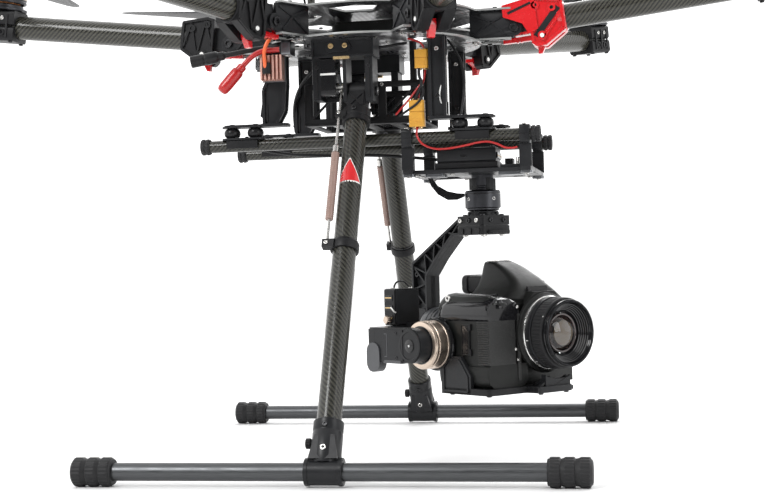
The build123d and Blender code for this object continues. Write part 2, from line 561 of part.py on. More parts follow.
def camera_body():
    """Digital reflex body: box, viewfinder hump, eyepiece, hand grip and lens flange."""
    outline = [(BODY_BACK, BODY_LEFT), (BODY_BACK, BODY_RIGHT), (BODY_FRONT, BODY_RIGHT), (BODY_FRONT, 36),
               (54, BODY_LEFT)]
    body = Pos(0, 0, BODY_BASE) * extrude(make_face(Polyline(*outline, close=True)), SHOULDER_Z - BODY_BASE)
    body = rounded(body, 9)
    grip = rounded(block(58, GRIP_FRONT, GRIP_INNER, BODY_RIGHT, BODY_BASE + 2, GRIP_Z), 9)
    base = Plane.XY.offset(SHOULDER_Z - 4) * Pos(41, 0) * RectangleRounded(66, 2 * HUMP_HALF, 10)
    crown = Plane.XY.offset(HUMP_TOP) * Pos(20, 0) * RectangleRounded(18, 2 * RIDGE_HALF, 4)
    roof = [(10, 156), (74, 156), (72, 162), (64, 171), (44, 182), (28, HUMP_TOP), (12, HUMP_TOP)]
    hump = loft([base, crown]) + side_profile(roof, RIDGE_HALF)
    eyepiece = rounded(block(-18, BODY_BACK + 10, RIDGE_HALF, -RIDGE_HALF, 158, 176), 4, Axis.X)
    flange = rod((BODY_FRONT, 0, ROLL_Z), (MOUNT_FACE, 0, ROLL_Z), BARREL_R)
    camera = body + grip + hump + eyepiece + flange
    camera -= rod((DIAL_X, DIAL_Y, SHOULDER_Z - 6), (DIAL_X, DIAL_Y, SHOULDER_Z), DIAL_SHAFT_R + FIT)
    camera -= rod((BUTTON_X, BUTTON_Y, GRIP_Z - 9), (BUTTON_X, BUTTON_Y, SHOULDER_Z + 1), BUTTON_R + FIT)
    return camera


def lens():
    """Fixed barrel on the flange, the core under the focus ring, and the front tube round the hollow."""
    z = ROLL_Z
    barrel = rod((MOUNT_FACE, 0, z), (98, 0, z), BARREL_R)
    core = rod((98, 0, z), (102, 0, z), CORE_R)
    front = pipe((102, 0, z), (118, 0, z), CORE_R, HOLLOW_R)
    front += pipe((112 + GAP, 0, z), (118, 0, z), RIM_R, HOLLOW_R)
    return [barrel, core, front]


def build_gimbal():
    write("gimbal_plate", *gimbal_plate())
    write("gimbal_controller", rounded(block(72, 133, -52, -12, 281, 302), 2))
    write("pan_motor", pan_motor())
    place = camera_frame()
    write("gimbal_arm", place * gimbal_arm())
    write("roll_frame", *[place * piece for piece in roll_frame()])
    write("tilt_tray", *[place * piece for piece in tilt_tray()])
    write("camera_body", place * camera_body())
    write("lens", *[place * piece for piece in lens()])
    ring = pipe((98 + GAP, 0, ROLL_Z), (112, 0, ROLL_Z), RING_R, CORE_R + FIT)
    write("focus_ring", place * ring)
    dial = rod((DIAL_X, DIAL_Y, SHOULDER_Z + GAP), (DIAL_X, DIAL_Y, SHOULDER_Z + 9), DIAL_R)
    dial += rod((DIAL_X, DIAL_Y, SHOULDER_Z - 5), (DIAL_X, DIAL_Y, SHOULDER_Z + 1), DIAL_SHAFT_R)
    write("mode_dial", place * dial)
    button = rod((BUTTON_X, BUTTON_Y, GRIP_Z - 6), (BUTTON_X, BUTTON_Y, GRIP_Z + 2), BUTTON_R)
    write("shutter_button", place * button)


build_arms()
build_centre()
build_legs()
build_equipment()
build_gimbal()
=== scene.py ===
import bmesh
import bpy
from math import atan2, cos, degrees, hypot, pi, radians, sin, tau
from mathutils import Matrix, Vector
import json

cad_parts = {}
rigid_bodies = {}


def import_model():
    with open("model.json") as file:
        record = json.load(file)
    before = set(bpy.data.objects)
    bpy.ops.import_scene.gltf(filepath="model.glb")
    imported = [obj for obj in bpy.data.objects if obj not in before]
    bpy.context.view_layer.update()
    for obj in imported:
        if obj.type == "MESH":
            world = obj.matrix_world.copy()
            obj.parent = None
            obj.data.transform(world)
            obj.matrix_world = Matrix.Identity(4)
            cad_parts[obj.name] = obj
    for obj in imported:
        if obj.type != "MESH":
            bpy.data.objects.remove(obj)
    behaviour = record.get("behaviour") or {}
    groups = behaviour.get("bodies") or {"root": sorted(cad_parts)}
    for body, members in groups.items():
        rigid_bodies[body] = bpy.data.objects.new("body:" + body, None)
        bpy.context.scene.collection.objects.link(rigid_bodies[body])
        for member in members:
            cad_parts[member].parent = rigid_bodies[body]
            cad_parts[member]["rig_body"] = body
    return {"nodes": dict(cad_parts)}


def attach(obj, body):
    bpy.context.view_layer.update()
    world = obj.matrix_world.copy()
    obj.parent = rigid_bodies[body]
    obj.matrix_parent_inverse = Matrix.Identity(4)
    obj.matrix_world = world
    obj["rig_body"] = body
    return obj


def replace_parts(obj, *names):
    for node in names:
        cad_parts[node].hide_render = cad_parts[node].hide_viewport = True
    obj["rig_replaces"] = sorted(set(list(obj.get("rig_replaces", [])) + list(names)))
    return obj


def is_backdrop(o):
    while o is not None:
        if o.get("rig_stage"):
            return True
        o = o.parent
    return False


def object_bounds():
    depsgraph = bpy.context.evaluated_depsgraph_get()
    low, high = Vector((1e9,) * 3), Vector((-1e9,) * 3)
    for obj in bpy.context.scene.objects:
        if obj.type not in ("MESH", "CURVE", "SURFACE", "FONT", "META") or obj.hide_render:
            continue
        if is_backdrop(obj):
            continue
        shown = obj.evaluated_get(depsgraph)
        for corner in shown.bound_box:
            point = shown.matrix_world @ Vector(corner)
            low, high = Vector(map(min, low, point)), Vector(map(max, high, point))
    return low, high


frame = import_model()
start_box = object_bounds()

MM = 0.001
I = Matrix.Identity(4)
UP, DOWN = (0, 0, 1), (0, 0, -1)
# SIDE takes an outline in (x, z) with its thickness along y, FRONT one in (y, z) with its thickness along x
SIDE = Matrix(((1, 0, 0, 0), (0, 0, 1, 0), (0, 1, 0, 0), (0, 0, 0, 1)))
FRONT = Matrix(((0, 0, 1, 0), (1, 0, 0, 0), (0, 1, 0, 0), (0, 0, 0, 1)))


# ---------------- viewpoint
EYE = (0.3084, -1.5072, 0.1947)
PITCH, ROLL, YAW = 0.0063, 0.0272, 0.1973
LENS, SENSOR = 70.4, 36.0

turned = Matrix.Rotation(YAW, 3, "Z") @ Matrix.Rotation(PITCH, 3, "X") @ Matrix.Rotation(ROLL, 3, "Y")
right, ahead, up = turned.col[0], turned.col[1], turned.col[2]
eye = bpy.data.objects.new("camera", bpy.data.cameras.new("camera"))
eye.data.lens, eye.data.sensor_width = LENS, SENSOR
eye.data.clip_start, eye.data.clip_end = 0.05, 60
bpy.context.scene.collection.objects.link(eye)
eye.matrix_world = Matrix.Translation(EYE) @ Matrix((right, up, -ahead)).transposed().to_4x4()
bpy.context.scene.camera = eye


# ---------------- paints
class Paint:
    """One procedural material, built node by node round a Principled shader."""

    def __init__(self, name, slot, **sockets):
        self.mat = bpy.data.materials.new(name)
        self.mat.use_nodes = True
        self.tree = self.mat.node_tree
        self.shader = self.tree.nodes["Principled BSDF"]
        self.slot = slot
        for key, value in sockets.items():
            self.shader.inputs[key.replace("_", " ")].default_value = value

    def new(self, kind):
        return self.tree.nodes.new("ShaderNode" + kind)

    def feed(self, socket, value):
        if isinstance(value, bpy.types.NodeSocket):
            self.tree.links.new(value, socket)
        else:
            socket.default_value = value

    def math(self, operation, a, b=0.0):
        node = self.new("Math")
        node.operation = operation
        self.feed(node.inputs[0], a)
        self.feed(node.inputs[1], b)
        return node.outputs[0]

    def coords(self, kind="Object", scale=(1, 1, 1)):
        node, mapping = self.new("TexCoord"), self.new("Mapping")
        self.feed(mapping.inputs["Vector"], node.outputs[kind])
        mapping.inputs["Scale"].default_value = scale
        return mapping.outputs[0]

    def noise(self, scale, detail=3.0, vector=None, distortion=0.0):
        node = self.new("TexNoise")
        node.inputs["Scale"].default_value = scale
        node.inputs["Detail"].default_value = detail
        node.inputs["Distortion"].default_value = distortion
        self.feed(node.inputs["Vector"], vector if vector else self.coords())
        return node.outputs["Fac"]

    def cells(self, scale, vector=None):
        node = self.new("TexVoronoi")
        node.feature = "DISTANCE_TO_EDGE"
        node.inputs["Scale"].default_value = scale
        self.feed(node.inputs["Vector"], vector if vector else self.coords())
        return node.outputs["Distance"]

    def span(self, value, low, high, from_low=0.3, from_high=0.7):
        node = self.new("MapRange")
        self.feed(node.inputs["Value"], value)
        for key, number in zip(("From Min", "From Max", "To Min", "To Max"),
                               (from_low, from_high, low, high)):
            node.inputs[key].default_value = number
        return node.outputs[0]

    def blend(self, value, low, high):
        node = self.new("ValToRGB")
        self.feed(node.inputs[0], value)
        node.color_ramp.elements[0].position, node.color_ramp.elements[1].position = 0.25, 0.75
        node.color_ramp.elements[0].color, node.color_ramp.elements[1].color = (*low, 1), (*high, 1)
        return node.outputs[0]

    def finish(self, colour, rough, height, depth, strength=0.6):
        """Connects colour, roughness and a bump of the given depth in millimetres."""
        self.feed(self.shader.inputs["Base Color"], colour)
        self.feed(self.shader.inputs["Roughness"], rough)
        bump = self.new("Bump")
        bump.inputs["Strength"].default_value = strength
        bump.inputs["Distance"].default_value = depth * MM
        self.feed(bump.inputs["Height"], height)
        self.feed(self.shader.inputs["Normal"], bump.outputs[0])
        return self


def shade(colour, share):
    return tuple(min(1.0, c * share) for c in colour)


def grained(name, slot, colour, rough, grain=900, depth=0.05, spread=0.18, rough_spread=0.07, **sockets):
    """Moulded or cast finish: fine grain, uneven gloss and faint handling marks."""
    if max(colour) < 0.06 and "Metallic" not in sockets:
        sockets.setdefault("Specular_IOR_Level", 0.22)
    p = Paint(name, slot, **sockets)
    wide, fine = p.noise(35, 4), p.noise(grain, 2)
    wear = p.math("MULTIPLY", p.noise(140, 6, distortion=1.5), wide)
    tone = p.math("ADD", p.math("MULTIPLY", wide, 0.6), p.math("MULTIPLY", fine, 0.4))
    return p.finish(p.blend(tone, shade(colour, 1 - spread), shade(colour, 1 + spread)),
                    p.span(wear, rough - rough_spread, rough + rough_spread, 0.12, 0.42), fine, depth)


def brushed(name, slot, colour, rough, lines=(40, 5200, 40), depth=0.012, **sockets):
    """Turned or brushed metal: fine lines that run round a turned part."""
    p = Paint(name, slot, Metallic=1.0, **sockets)
    line = p.noise(1.0, 3, p.coords("UV", lines))
    cloud = p.noise(60, 3)
    return p.finish(p.blend(line, shade(colour, 0.86), shade(colour, 1.12)),
                    p.span(p.math("MULTIPLY", line, cloud), rough - 0.07, rough + 0.09, 0.1, 0.4), line,
                    depth)


def twill(name, slot, dark, light, tow, rough=0.3, coat=0.35, skew=0.0):
    """2/2 twill carbon weave under clear resin. The UV map of every piece is in metres."""
    p = Paint(name, slot, Coat_Weight=coat, Coat_Roughness=0.12, Coat_IOR=1.35, Specular_IOR_Level=0.3)
    mapping = p.new("Mapping")
    p.feed(mapping.inputs["Vector"], p.new("UVMap").outputs[0])
    mapping.inputs["Rotation"].default_value = (0, 0, skew)
    mapping.inputs["Scale"].default_value = (1 / (tow * MM),) * 3
    axes = p.new("SeparateXYZ")
    p.feed(axes.inputs[0], mapping.outputs[0])
    u, v = axes.outputs[0], axes.outputs[1]
    index = p.math("ADD", p.math("FLOOR", u), p.math("FLOOR", v))
    over = p.math("LESS_THAN", p.math("FRACT", p.math("MULTIPLY", index, 0.25)), 0.5)
    crowns = [p.math("SINE", p.math("MULTIPLY", p.math("FRACT", w), pi)) for w in (u, v)]
    under = p.math("SUBTRACT", 1.0, over)
    crown_and_sheen = p.math("ADD", p.math("MULTIPLY", crowns[0], over), p.math("MULTIPLY", crowns[1], under))
    fibre = p.noise(1.0, 2, p.coords("UV", (2600, 2600, 1)))
    # Colour: warp and weft tows differ in tone, and each tow is painted lighter along its crown, a painted
    # highlight. The same crown also makes the bump.
    tone = p.math("ADD", p.math("MULTIPLY", over, 0.62), p.math("MULTIPLY", p.math("ADD", fibre, crown_and_sheen), 0.2))
    haze = p.noise(25, 3)
    gloss = p.math("ADD", p.span(over, rough, rough + 0.12, 0, 1), p.span(haze, -0.04, 0.06))
    return p.finish(p.blend(tone, dark, light), gloss, p.math("ADD", crown_and_sheen, p.math("MULTIPLY", fibre, 0.2)),
                    0.10)


carbon = twill("tube_carbon", "carbon_tube", (0.006, 0.006, 0.005), (0.040, 0.039, 0.030), 1.2, 0.28, 0.5)
arm_carbon = twill("arm_carbon", "carbon_tube", (0.007, 0.007, 0.006), (0.052, 0.050, 0.038), 1.2, 0.26, 0.6)
plate_carbon = twill("plate_carbon", "carbon_plate", (0.010, 0.010, 0.011), (0.055, 0.056, 0.06), 2.0, 0.3,
                     0.6, pi / 4)
blade_carbon = twill("blade_carbon", "blade_carbon", (0.008, 0.008, 0.009), (0.03, 0.03, 0.032), 2.0, 0.34,
                     0.2, pi / 4)
plate_edge = grained("plate_edge", "carbon_plate", (0.26, 0.265, 0.26), 0.34, 2600, 0.03, 0.3,
                     Coat_Weight=0.5)
black = grained("moulded_black", "black_plastic", (0.010, 0.010, 0.011), 0.46, 1400, 0.05)
satin = grained("satin_black", "black_plastic", (0.015, 0.0155, 0.017), 0.36, 2400, 0.02)
gloss = grained("gloss_black", "black_plastic", (0.008, 0.008, 0.009), 0.16, 500, 0.01, Coat_Weight=0.4)
anodised = brushed("anodised_dark", "dark_metal", (0.055, 0.056, 0.061), 0.36)
gunmetal = grained("gunmetal", "dark_metal", (0.16, 0.165, 0.175), 0.34, 1800, 0.02, Metallic=1.0)
champagne = brushed("champagne", "champagne_metal", (0.62, 0.51, 0.42), 0.3)
steel = brushed("bright_steel", "screw_steel", (0.62, 0.61, 0.59), 0.24)
black_steel = grained("black_screw", "screw_steel", (0.05, 0.05, 0.052), 0.3, 1500, 0.015, Metallic=1.0)
brass = brushed("brass", "screw_steel", (0.72, 0.52, 0.27), 0.28)
silver = brushed("lens_ring", "camera_black", (0.82, 0.82, 0.80), 0.2)
red = grained("gloss_red", "red_plastic", (0.60, 0.010, 0.014), 0.22, 700, 0.012, 0.12, Coat_Weight=0.7,
              Coat_Roughness=0.08)
rubber = grained("damper_rubber", "rubber", (0.012, 0.012, 0.013), 0.3, 600, 0.02)
cap_rubber = grained("cap_rubber", "rubber", (0.02, 0.02, 0.021), 0.55, 1800, 0.08)
grey = brushed("skid_satin", "grey_satin", (0.10, 0.103, 0.107), 0.40, (900, 60, 1), 0.01)
ochre = grained("ochre", "connector_ochre", (0.60, 0.30, 0.035), 0.38, 800, 0.03, 0.22)
orange = grained("orange_silicone", "connector_ochre", (0.80, 0.13, 0.03), 0.4, 700, 0.03)
lead_black = grained("silicone_black", "lead_black", (0.014, 0.014, 0.015), 0.4, 900, 0.03)
lead_red = grained("silicone_red", "lead_red", (0.40, 0.008, 0.008), 0.36, 900, 0.03, Coat_Weight=0.2)
pink = brushed("copper_fins", "dark_metal", (0.60, 0.36, 0.30), 0.42, (900, 60, 1))
copper = brushed("winding_copper", "dark_metal", (0.66, 0.30, 0.14), 0.34, (60, 3000, 60))
sleeve_tan = grained("shrink_tan", "champagne_metal", (0.30, 0.20, 0.17), 0.32, 700, 0.03, 0.25)
shell = grained("camera_shell", "camera_black", (0.009, 0.0095, 0.009), 0.40, 2600, 0.05)
white = grained("white_mark", "camera_black", (0.80, 0.80, 0.78), 0.4, 800, 0.01, 0.04)


def leather():
    p = Paint("camera_grip", "camera_black")
    pebble_and_groove_shade, fine = p.cells(620), p.noise(1800, 2)
    # Colour: darker along the cell edges, in the grooves between the pebbles, which is painted shade. The
    # same cells also make the bump.
    tone = p.math("ADD", p.math("MULTIPLY", pebble_and_groove_shade, 1.6), p.math("MULTIPLY", fine, 0.35))
    height = p.math("ADD", pebble_and_groove_shade, p.math("MULTIPLY", fine, 0.1))
    return p.finish(p.blend(tone, (0.004, 0.004, 0.004), (0.013, 0.014, 0.013)), p.span(fine, 0.44, 0.6),
                    height, 0.30)


def glass():
    p = Paint("front_glass", "camera_black", Transmission_Weight=1.0, IOR=1.52)
    smear = p.noise(90, 5, distortion=0.8)
    p.feed(p.shader.inputs["Roughness"], p.span(smear, 0.0, 0.03))
    p.shader.inputs["Base Color"].default_value = (0.93, 0.95, 0.96, 1)
    return p


def coated(name, colour, coat):
    """Inner lens surface: dark, glossy, tinted by its coating."""
    p = Paint(name, "camera_black", Coat_Weight=coat, Coat_Roughness=0.05, IOR=1.6)
    cloud = p.noise(60, 3)
    return p.finish(p.blend(cloud, shade(colour, 0.7), colour), p.span(cloud, 0.03, 0.08), cloud, 0.004)


grip_leather, clear = leather(), glass()
amber, rose = coated("lens_amber", (0.13, 0.075, 0.025), 0.5), coated("lens_rose", (0.035, 0.020, 0.018), 0.3)


# ---------------- shape builder
def at(x=0, y=0, z=0, rx=0, ry=0, rz=0):
    turn = Matrix.Rotation(radians(rz), 4, "Z") @ Matrix.Rotation(radians(ry), 4,
            "Y") @ Matrix.Rotation(radians(rx), 4, "X")
    return Matrix.Translation((x, y, z)) @ turn


def aim(start, end):
    """Frame at start whose Z axis points to end."""
    way = Vector(end) - Vector(start)
    return Matrix.Translation(start) @ way.to_track_quat("Z", "Y").to_matrix().to_4x4()


def metres(m):
    """The same placement, with its translation in metres instead of millimetres."""
    out = m.copy()
    out.translation = m.translation * MM
    return out


class Shape:
    """A mesh of turned, extruded and lofted parts, built in millimetres."""

    def __init__(self):
        self.bm = bmesh.new()
        self.uv = self.bm.loops.layers.uv.new("weave")
        self.paints = []

    def face(self, paint, verts, uvs):
        if paint not in self.paints:
            self.paints.append(paint)
        f = self.bm.faces.new(verts)
        f.material_index = self.paints.index(paint)
        for loop, uv in zip(f.loops, uvs):
            loop[self.uv].uv = (uv[0] * MM, uv[1] * MM)

    def turn(self, paint, profile, place=I, seg=40, loop=False, period=6.4, caps=True):
        """Turns (radius, z) points about Z. A radius may be a function of the angle. A loop is closed."""
        widest = max(r(0.0) if callable(r) else r for r, _ in profile)
        around = max(1, round(tau * widest / period)) * period
        rings, run, last = [], 0.0, None
        for r, z in profile:
            if last is not None:
                run += hypot((0 if callable(r) or callable(last[0]) else r - last[0]), z - last[1])
            last = (r, z)
            if not callable(r) and r < 1e-6:
                rings.append(([self.bm.verts.new(place @ Vector((0, 0, z)))] * seg, run))
                continue
            ring = []
            for i in range(seg):
                a = tau * i / seg
                q = r(a) if callable(r) else r
                ring.append(self.bm.verts.new(place @ Vector((q * cos(a), q * sin(a), z))))
            rings.append((ring, run))
        pairs = list(zip(rings, rings[1:])) + ([(rings[-1], (rings[0][0], run + 1))] if loop else [])
        for (low, v0), (high, v1) in pairs:
            for i in range(seg):
                j = (i + 1) % seg
                u0, u1 = around * i / seg, around * (i + 1) / seg
                corners = [(low[i], (u0, v0)), (low[j], (u1, v0)), (high[j], (u1, v1)), (high[i], (u0, v1))]
                kept = []
                for vert, uv in corners:
                    if vert not in [k[0] for k in kept]:
                        kept.append((vert, uv))
                if len(kept) > 2:
                    self.face(paint, [k[0] for k in kept], [k[1] for k in kept])
        if caps and not loop:
            for ring, _ in (rings[0], rings[-1]):
                if len(set(ring)) == seg:
                    self.face(paint, ring, [(v.co.x, v.co.y) for v in ring])
        return self

    def loft(self, paint, sections, caps=True):
        """Skin through closed loops of points, with flat ends."""
        rings = [[self.bm.verts.new(Vector(p)) for p in loop] for loop in sections]
        count, run = len(rings[0]), 0.0
        for low, high in zip(rings, rings[1:]):
            step = (high[0].co - low[0].co).length
            width = 0.0
            for i in range(count):
                j = (i + 1) % count
                edge = (low[j].co - low[i].co).length
                self.face(paint, [low[i], low[j], high[j], high[i]], [(width, run), (width + edge, run),
                        (width + edge, run + step), (width, run + step)])
                width += edge
            run += step
        if caps:
            for ring in (rings[0], rings[-1]):
                self.face(paint, ring, [(v.co.x, v.co.y) for v in ring])
        return self

    def prism(self, paint, outline, low, high, place=I):
        """Outline in the placement's X-Y plane, extruded from low to high along its Z."""
        ends = [[self.bm.verts.new(place @ Vector((x, y, z))) for x, y in outline] for z in (low, high)]
        for ring in ends:
            self.face(paint, ring, outline)
        run = 0.0
        for i, p in enumerate(outline):
            j = (i + 1) % len(outline)
            edge = hypot(outline[j][0] - p[0], outline[j][1] - p[1])
            self.face(paint, [ends[0][i], ends[0][j], ends[1][j], ends[1][i]],
                      [(run, low), (run + edge, low), (run + edge, high), (run, high)])
            run += edge
        return self

    def box(self, paint, x0, x1, y0, y1, z0, z1, place=I):
        return self.prism(paint, [(x0, y0), (x1, y0), (x1, y1), (x0, y1)], z0, z1, place)

    def pad(self, paint, x0, x1, y0, y1, low, high, radius, place=I):
        """Box with rounded corners in the placement's X-Y plane."""
        return self.prism(paint, rounded(x0, x1, y0, y1, radius), low, high, place)

    def tube(self, paint, start, end, outer, inner=0.0, seg=40):
        length = (Vector(end) - Vector(start)).length
        profile = [(inner, 0), (outer, 0), (outer, length), (inner, length)]
        return self.turn(paint, profile, aim(start, end), seg, loop=inner > 0)

    def bar(self, paint, p, q, width, low, high, place=I):
        """Straight rib between two points of the outline plane."""
        way = Vector(q) - Vector(p)
        across = Vector((-way.y, way.x)).normalized() * width / 2
        tips = [Vector(p) - across, Vector(q) - across, Vector(q) + across, Vector(p) + across]
        return self.prism(paint, [tuple(t) for t in tips], low, high, place)

    def ribs(self, paint, points, width, low, high, place=I, close=False):
        joined = list(zip(points, points[1:])) + ([(points[-1], points[0])] if close else [])
        for p, q in joined:
            self.bar(paint, p, q, width, low, high, place)
        return self

    def screw(self, paint, point, way, radius, high, socket=True):
        """Cap screw: knurled head with a hexagon socket, or a domed head with a dimple."""
        place = aim(point, Vector(point) + Vector(way))
        if socket:
            flat = radius * 0.52
            hexagon = lambda a: flat / cos((a % (pi / 3)) - pi / 6)
            knurl = lambda a: radius * (1 + 0.035 * cos(12 * a))
            profile = [(knurl, 0), (knurl, high * 0.82), (radius * 0.88, high), (hexagon, high),
                       (hexagon, high * 0.35), (0, high * 0.35)]
        else:
            profile = [(radius, 0), (radius, high * 0.35), (radius * 0.75, high * 0.8), (radius * 0.35, high),
                       (radius * 0.2, high * 0.6), (0, high * 0.6)]
        return self.turn(paint, profile, place, 24)


def band(inner, outer, low, high):
    """Section of a washer, or of a plain disc where inner is 0."""
    return [(inner, low), (outer, low), (outer, high), (inner, high)]


def flank(side, near, far):
    """Two distances from the middle as rising coordinates on the side that is 1 or -1."""
    return sorted((side * near, side * far))


def arc(cx, cy, r, start, end, steps=8):
    return [(cx + r * cos(radians(start + (end - start) * i / steps)),
             cy + r * sin(radians(start + (end - start) * i / steps))) for i in range(steps + 1)]


def rounded(x0, x1, y0, y1, r, steps=5):
    return (arc(x1 - r, y1 - r, r, 0, 90, steps) + arc(x0 + r, y1 - r, r, 90, 180, steps)
            + arc(x0 + r, y0 + r, r, 180, 270, steps) + arc(x1 - r, y0 + r, r, 270, 360, steps))


def polish(piece, width):
    """Rounds the sharp edges and keeps the flat faces flat."""
    if width:
        bevel = piece.modifiers.new("edges", "BEVEL")
        bevel.width, bevel.segments = width * MM, 2
        bevel.limit_method, bevel.angle_limit = "ANGLE", radians(34)
        bevel.harden_normals, bevel.use_clamp_overlap = True, True


def emit(shape, name, body, place=I, bevel=0.35, stands_for="", slot=None):
    """Turns a Shape into a piece that rides on a CAD body. place is in millimetres."""
    bmesh.ops.recalc_face_normals(shape.bm, faces=shape.bm.faces)
    shape.bm.transform(Matrix.Scale(MM, 4))
    mesh = bpy.data.meshes.new(name)
    shape.bm.to_mesh(mesh)
    shape.bm.free()
    for paint in shape.paints:
        mesh.materials.append(paint.mat)
    mesh.shade_smooth()
    if not bevel:
        mesh.set_sharp_from_angle(angle=radians(35))
    piece = bpy.data.objects.new(name, mesh)
    bpy.context.scene.collection.objects.link(piece)
    piece.matrix_world = metres(place)
    polish(piece, bevel)
    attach(piece, body)
    slot or shape.paints[0].slot
    if stands_for:
        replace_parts(piece, stands_for)
    return piece


def again(piece, name, body, place, stands_for=""):
    """The same piece once more, on another body."""
    twin = piece.copy()
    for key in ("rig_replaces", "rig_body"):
        if key in twin:
            del twin[key]
    twin.name = name
    twin.parent = None
    bpy.context.scene.collection.objects.link(twin)
    twin.matrix_world = metres(place)
    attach(twin, body)
    if stands_for:
        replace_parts(twin, stands_for)
    return twin


def wire(name, points, radius, paint, body="airframe", place=I, order=3):
    """Round wire along points in millimetres."""
    curve = bpy.data.curves.new(name, "CURVE")
    curve.dimensions, curve.bevel_depth, curve.bevel_resolution = "3D", radius * MM, 5
    curve.use_fill_caps, curve.resolution_u = True, 10
    line = curve.splines.new("NURBS")
    line.points.add(len(points) - 1)
    for spot, p in zip(line.points, points):
        spot.co = (p[0] * MM, p[1] * MM, p[2] * MM, 1)
    line.order_u, line.use_endpoint_u = order, True
    curve.materials.append(paint.mat)
    piece = bpy.data.objects.new(name, curve)
    bpy.context.scene.collection.objects.link(piece)
    piece.matrix_world = metres(place)
    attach(piece, body)
    return piece


def from_cad(node, paint, width, edge_paint=None, body="airframe"):
    """A CAD part with its own mesh cleaned up, its edges rounded and a finish of its own."""
    s = Shape()
    s.bm.from_mesh(frame["nodes"][node].data)
    bmesh.ops.remove_doubles(s.bm, verts=s.bm.verts, dist=2e-6)
    bmesh.ops.dissolve_limit(s.bm, angle_limit=radians(0.6), verts=s.bm.verts, edges=s.bm.edges)
    s.uv = s.bm.loops.layers.uv.get("weave") or s.bm.loops.layers.uv.new("weave")
    s.paints = [paint] + ([edge_paint] if edge_paint else [])
    for f in s.bm.faces:
        n = f.normal
        axis = max(range(3), key=lambda i: abs(n[i]))
        f.material_index = 1 if edge_paint and abs(n.z) < 0.5 else 0
        for loop in f.loops:
            co = [loop.vert.co[i] for i in range(3) if i != axis]
            loop[s.uv].uv = co
    s.bm.transform(Matrix.Scale(1 / MM, 4))
    return emit(s, node + "_skin", body, bevel=width, stands_for=node)


# ---------------- battery leads
BLACK_LEAD = [(-72, -77, 407), (-86, -77, 407), (-101, -80, 405.5), (-116, -84, 402.5), (-130, -87, 400)]
RED_LEAD = [(-72, -84, 403.4), (-82, -84, 403.4), (-93, -86, 402.6), (-103, -88.5, 397), (-110, -91, 388.5)]
LEAD_R = 2.6

for word, route, length, paint in (("black", BLACK_LEAD, 0.0596, lead_black),
                                   ("red", RED_LEAD, 0.0439, lead_red)):
    lead = wire("battery_lead_" + word, route, LEAD_R, paint)
    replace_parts(lead, "lead_" + word)
    place = aim(route[-1], Vector(route[-1]) * 2 - Vector(route[-2]))
    s = Shape()
    neck = [(0, 0), (3.4, 0), (4.4, 1.2), (4.4, 6.2), (5.2, 7), (5.9, 8.4)]
    if word == "red":
        s.turn(paint, neck + [(6, 12), (6, 27), (5.6, 31), (4.4, 33.4), (2.6, 34), (2.4, 33), (0, 33)],
               seg=40)
    else:
        s.turn(paint, neck + [(6, 9), (6, 19), (5.5, 19.6), (5.5, 21), (6, 21.6), (6, 33.2), (5.4, 34),
                              (3.2, 34), (3.0, 30), (0, 30)], seg=40)
    s.turn(steel, [(0, 30), (2.2, 30), (2.2, 33), (1.4, 33.6), (0, 33.6)], seg=20)
    plug = emit(s, "battery_plug_" + word, "airframe", place, 0.3, "plug_" + word, paint.slot)
    tuple(c * MM for c in route[0])


# ---------------- arms
ROOT_X, ROOT_Z, MOTOR_R = 148, 426.9, 405
NAMES = ["front", "front_left", "rear_left", "rear", "rear_right", "front_right"]
DIHEDRAL = 6.6
BLADE_TIP, BLADE_BOLT, BLADE_Z = 190.5, 13, 52.2
MOTOR_X = (MOTOR_R - ROOT_X) / cos(radians(DIHEDRAL))
ARMS = [at(rz=60 * k) @ at(ROOT_X, 0, ROOT_Z, 0, -DIHEDRAL, 0) for k in range(6)]
OUTWARD = aim((0, 0, 0), (1, 0, 0))


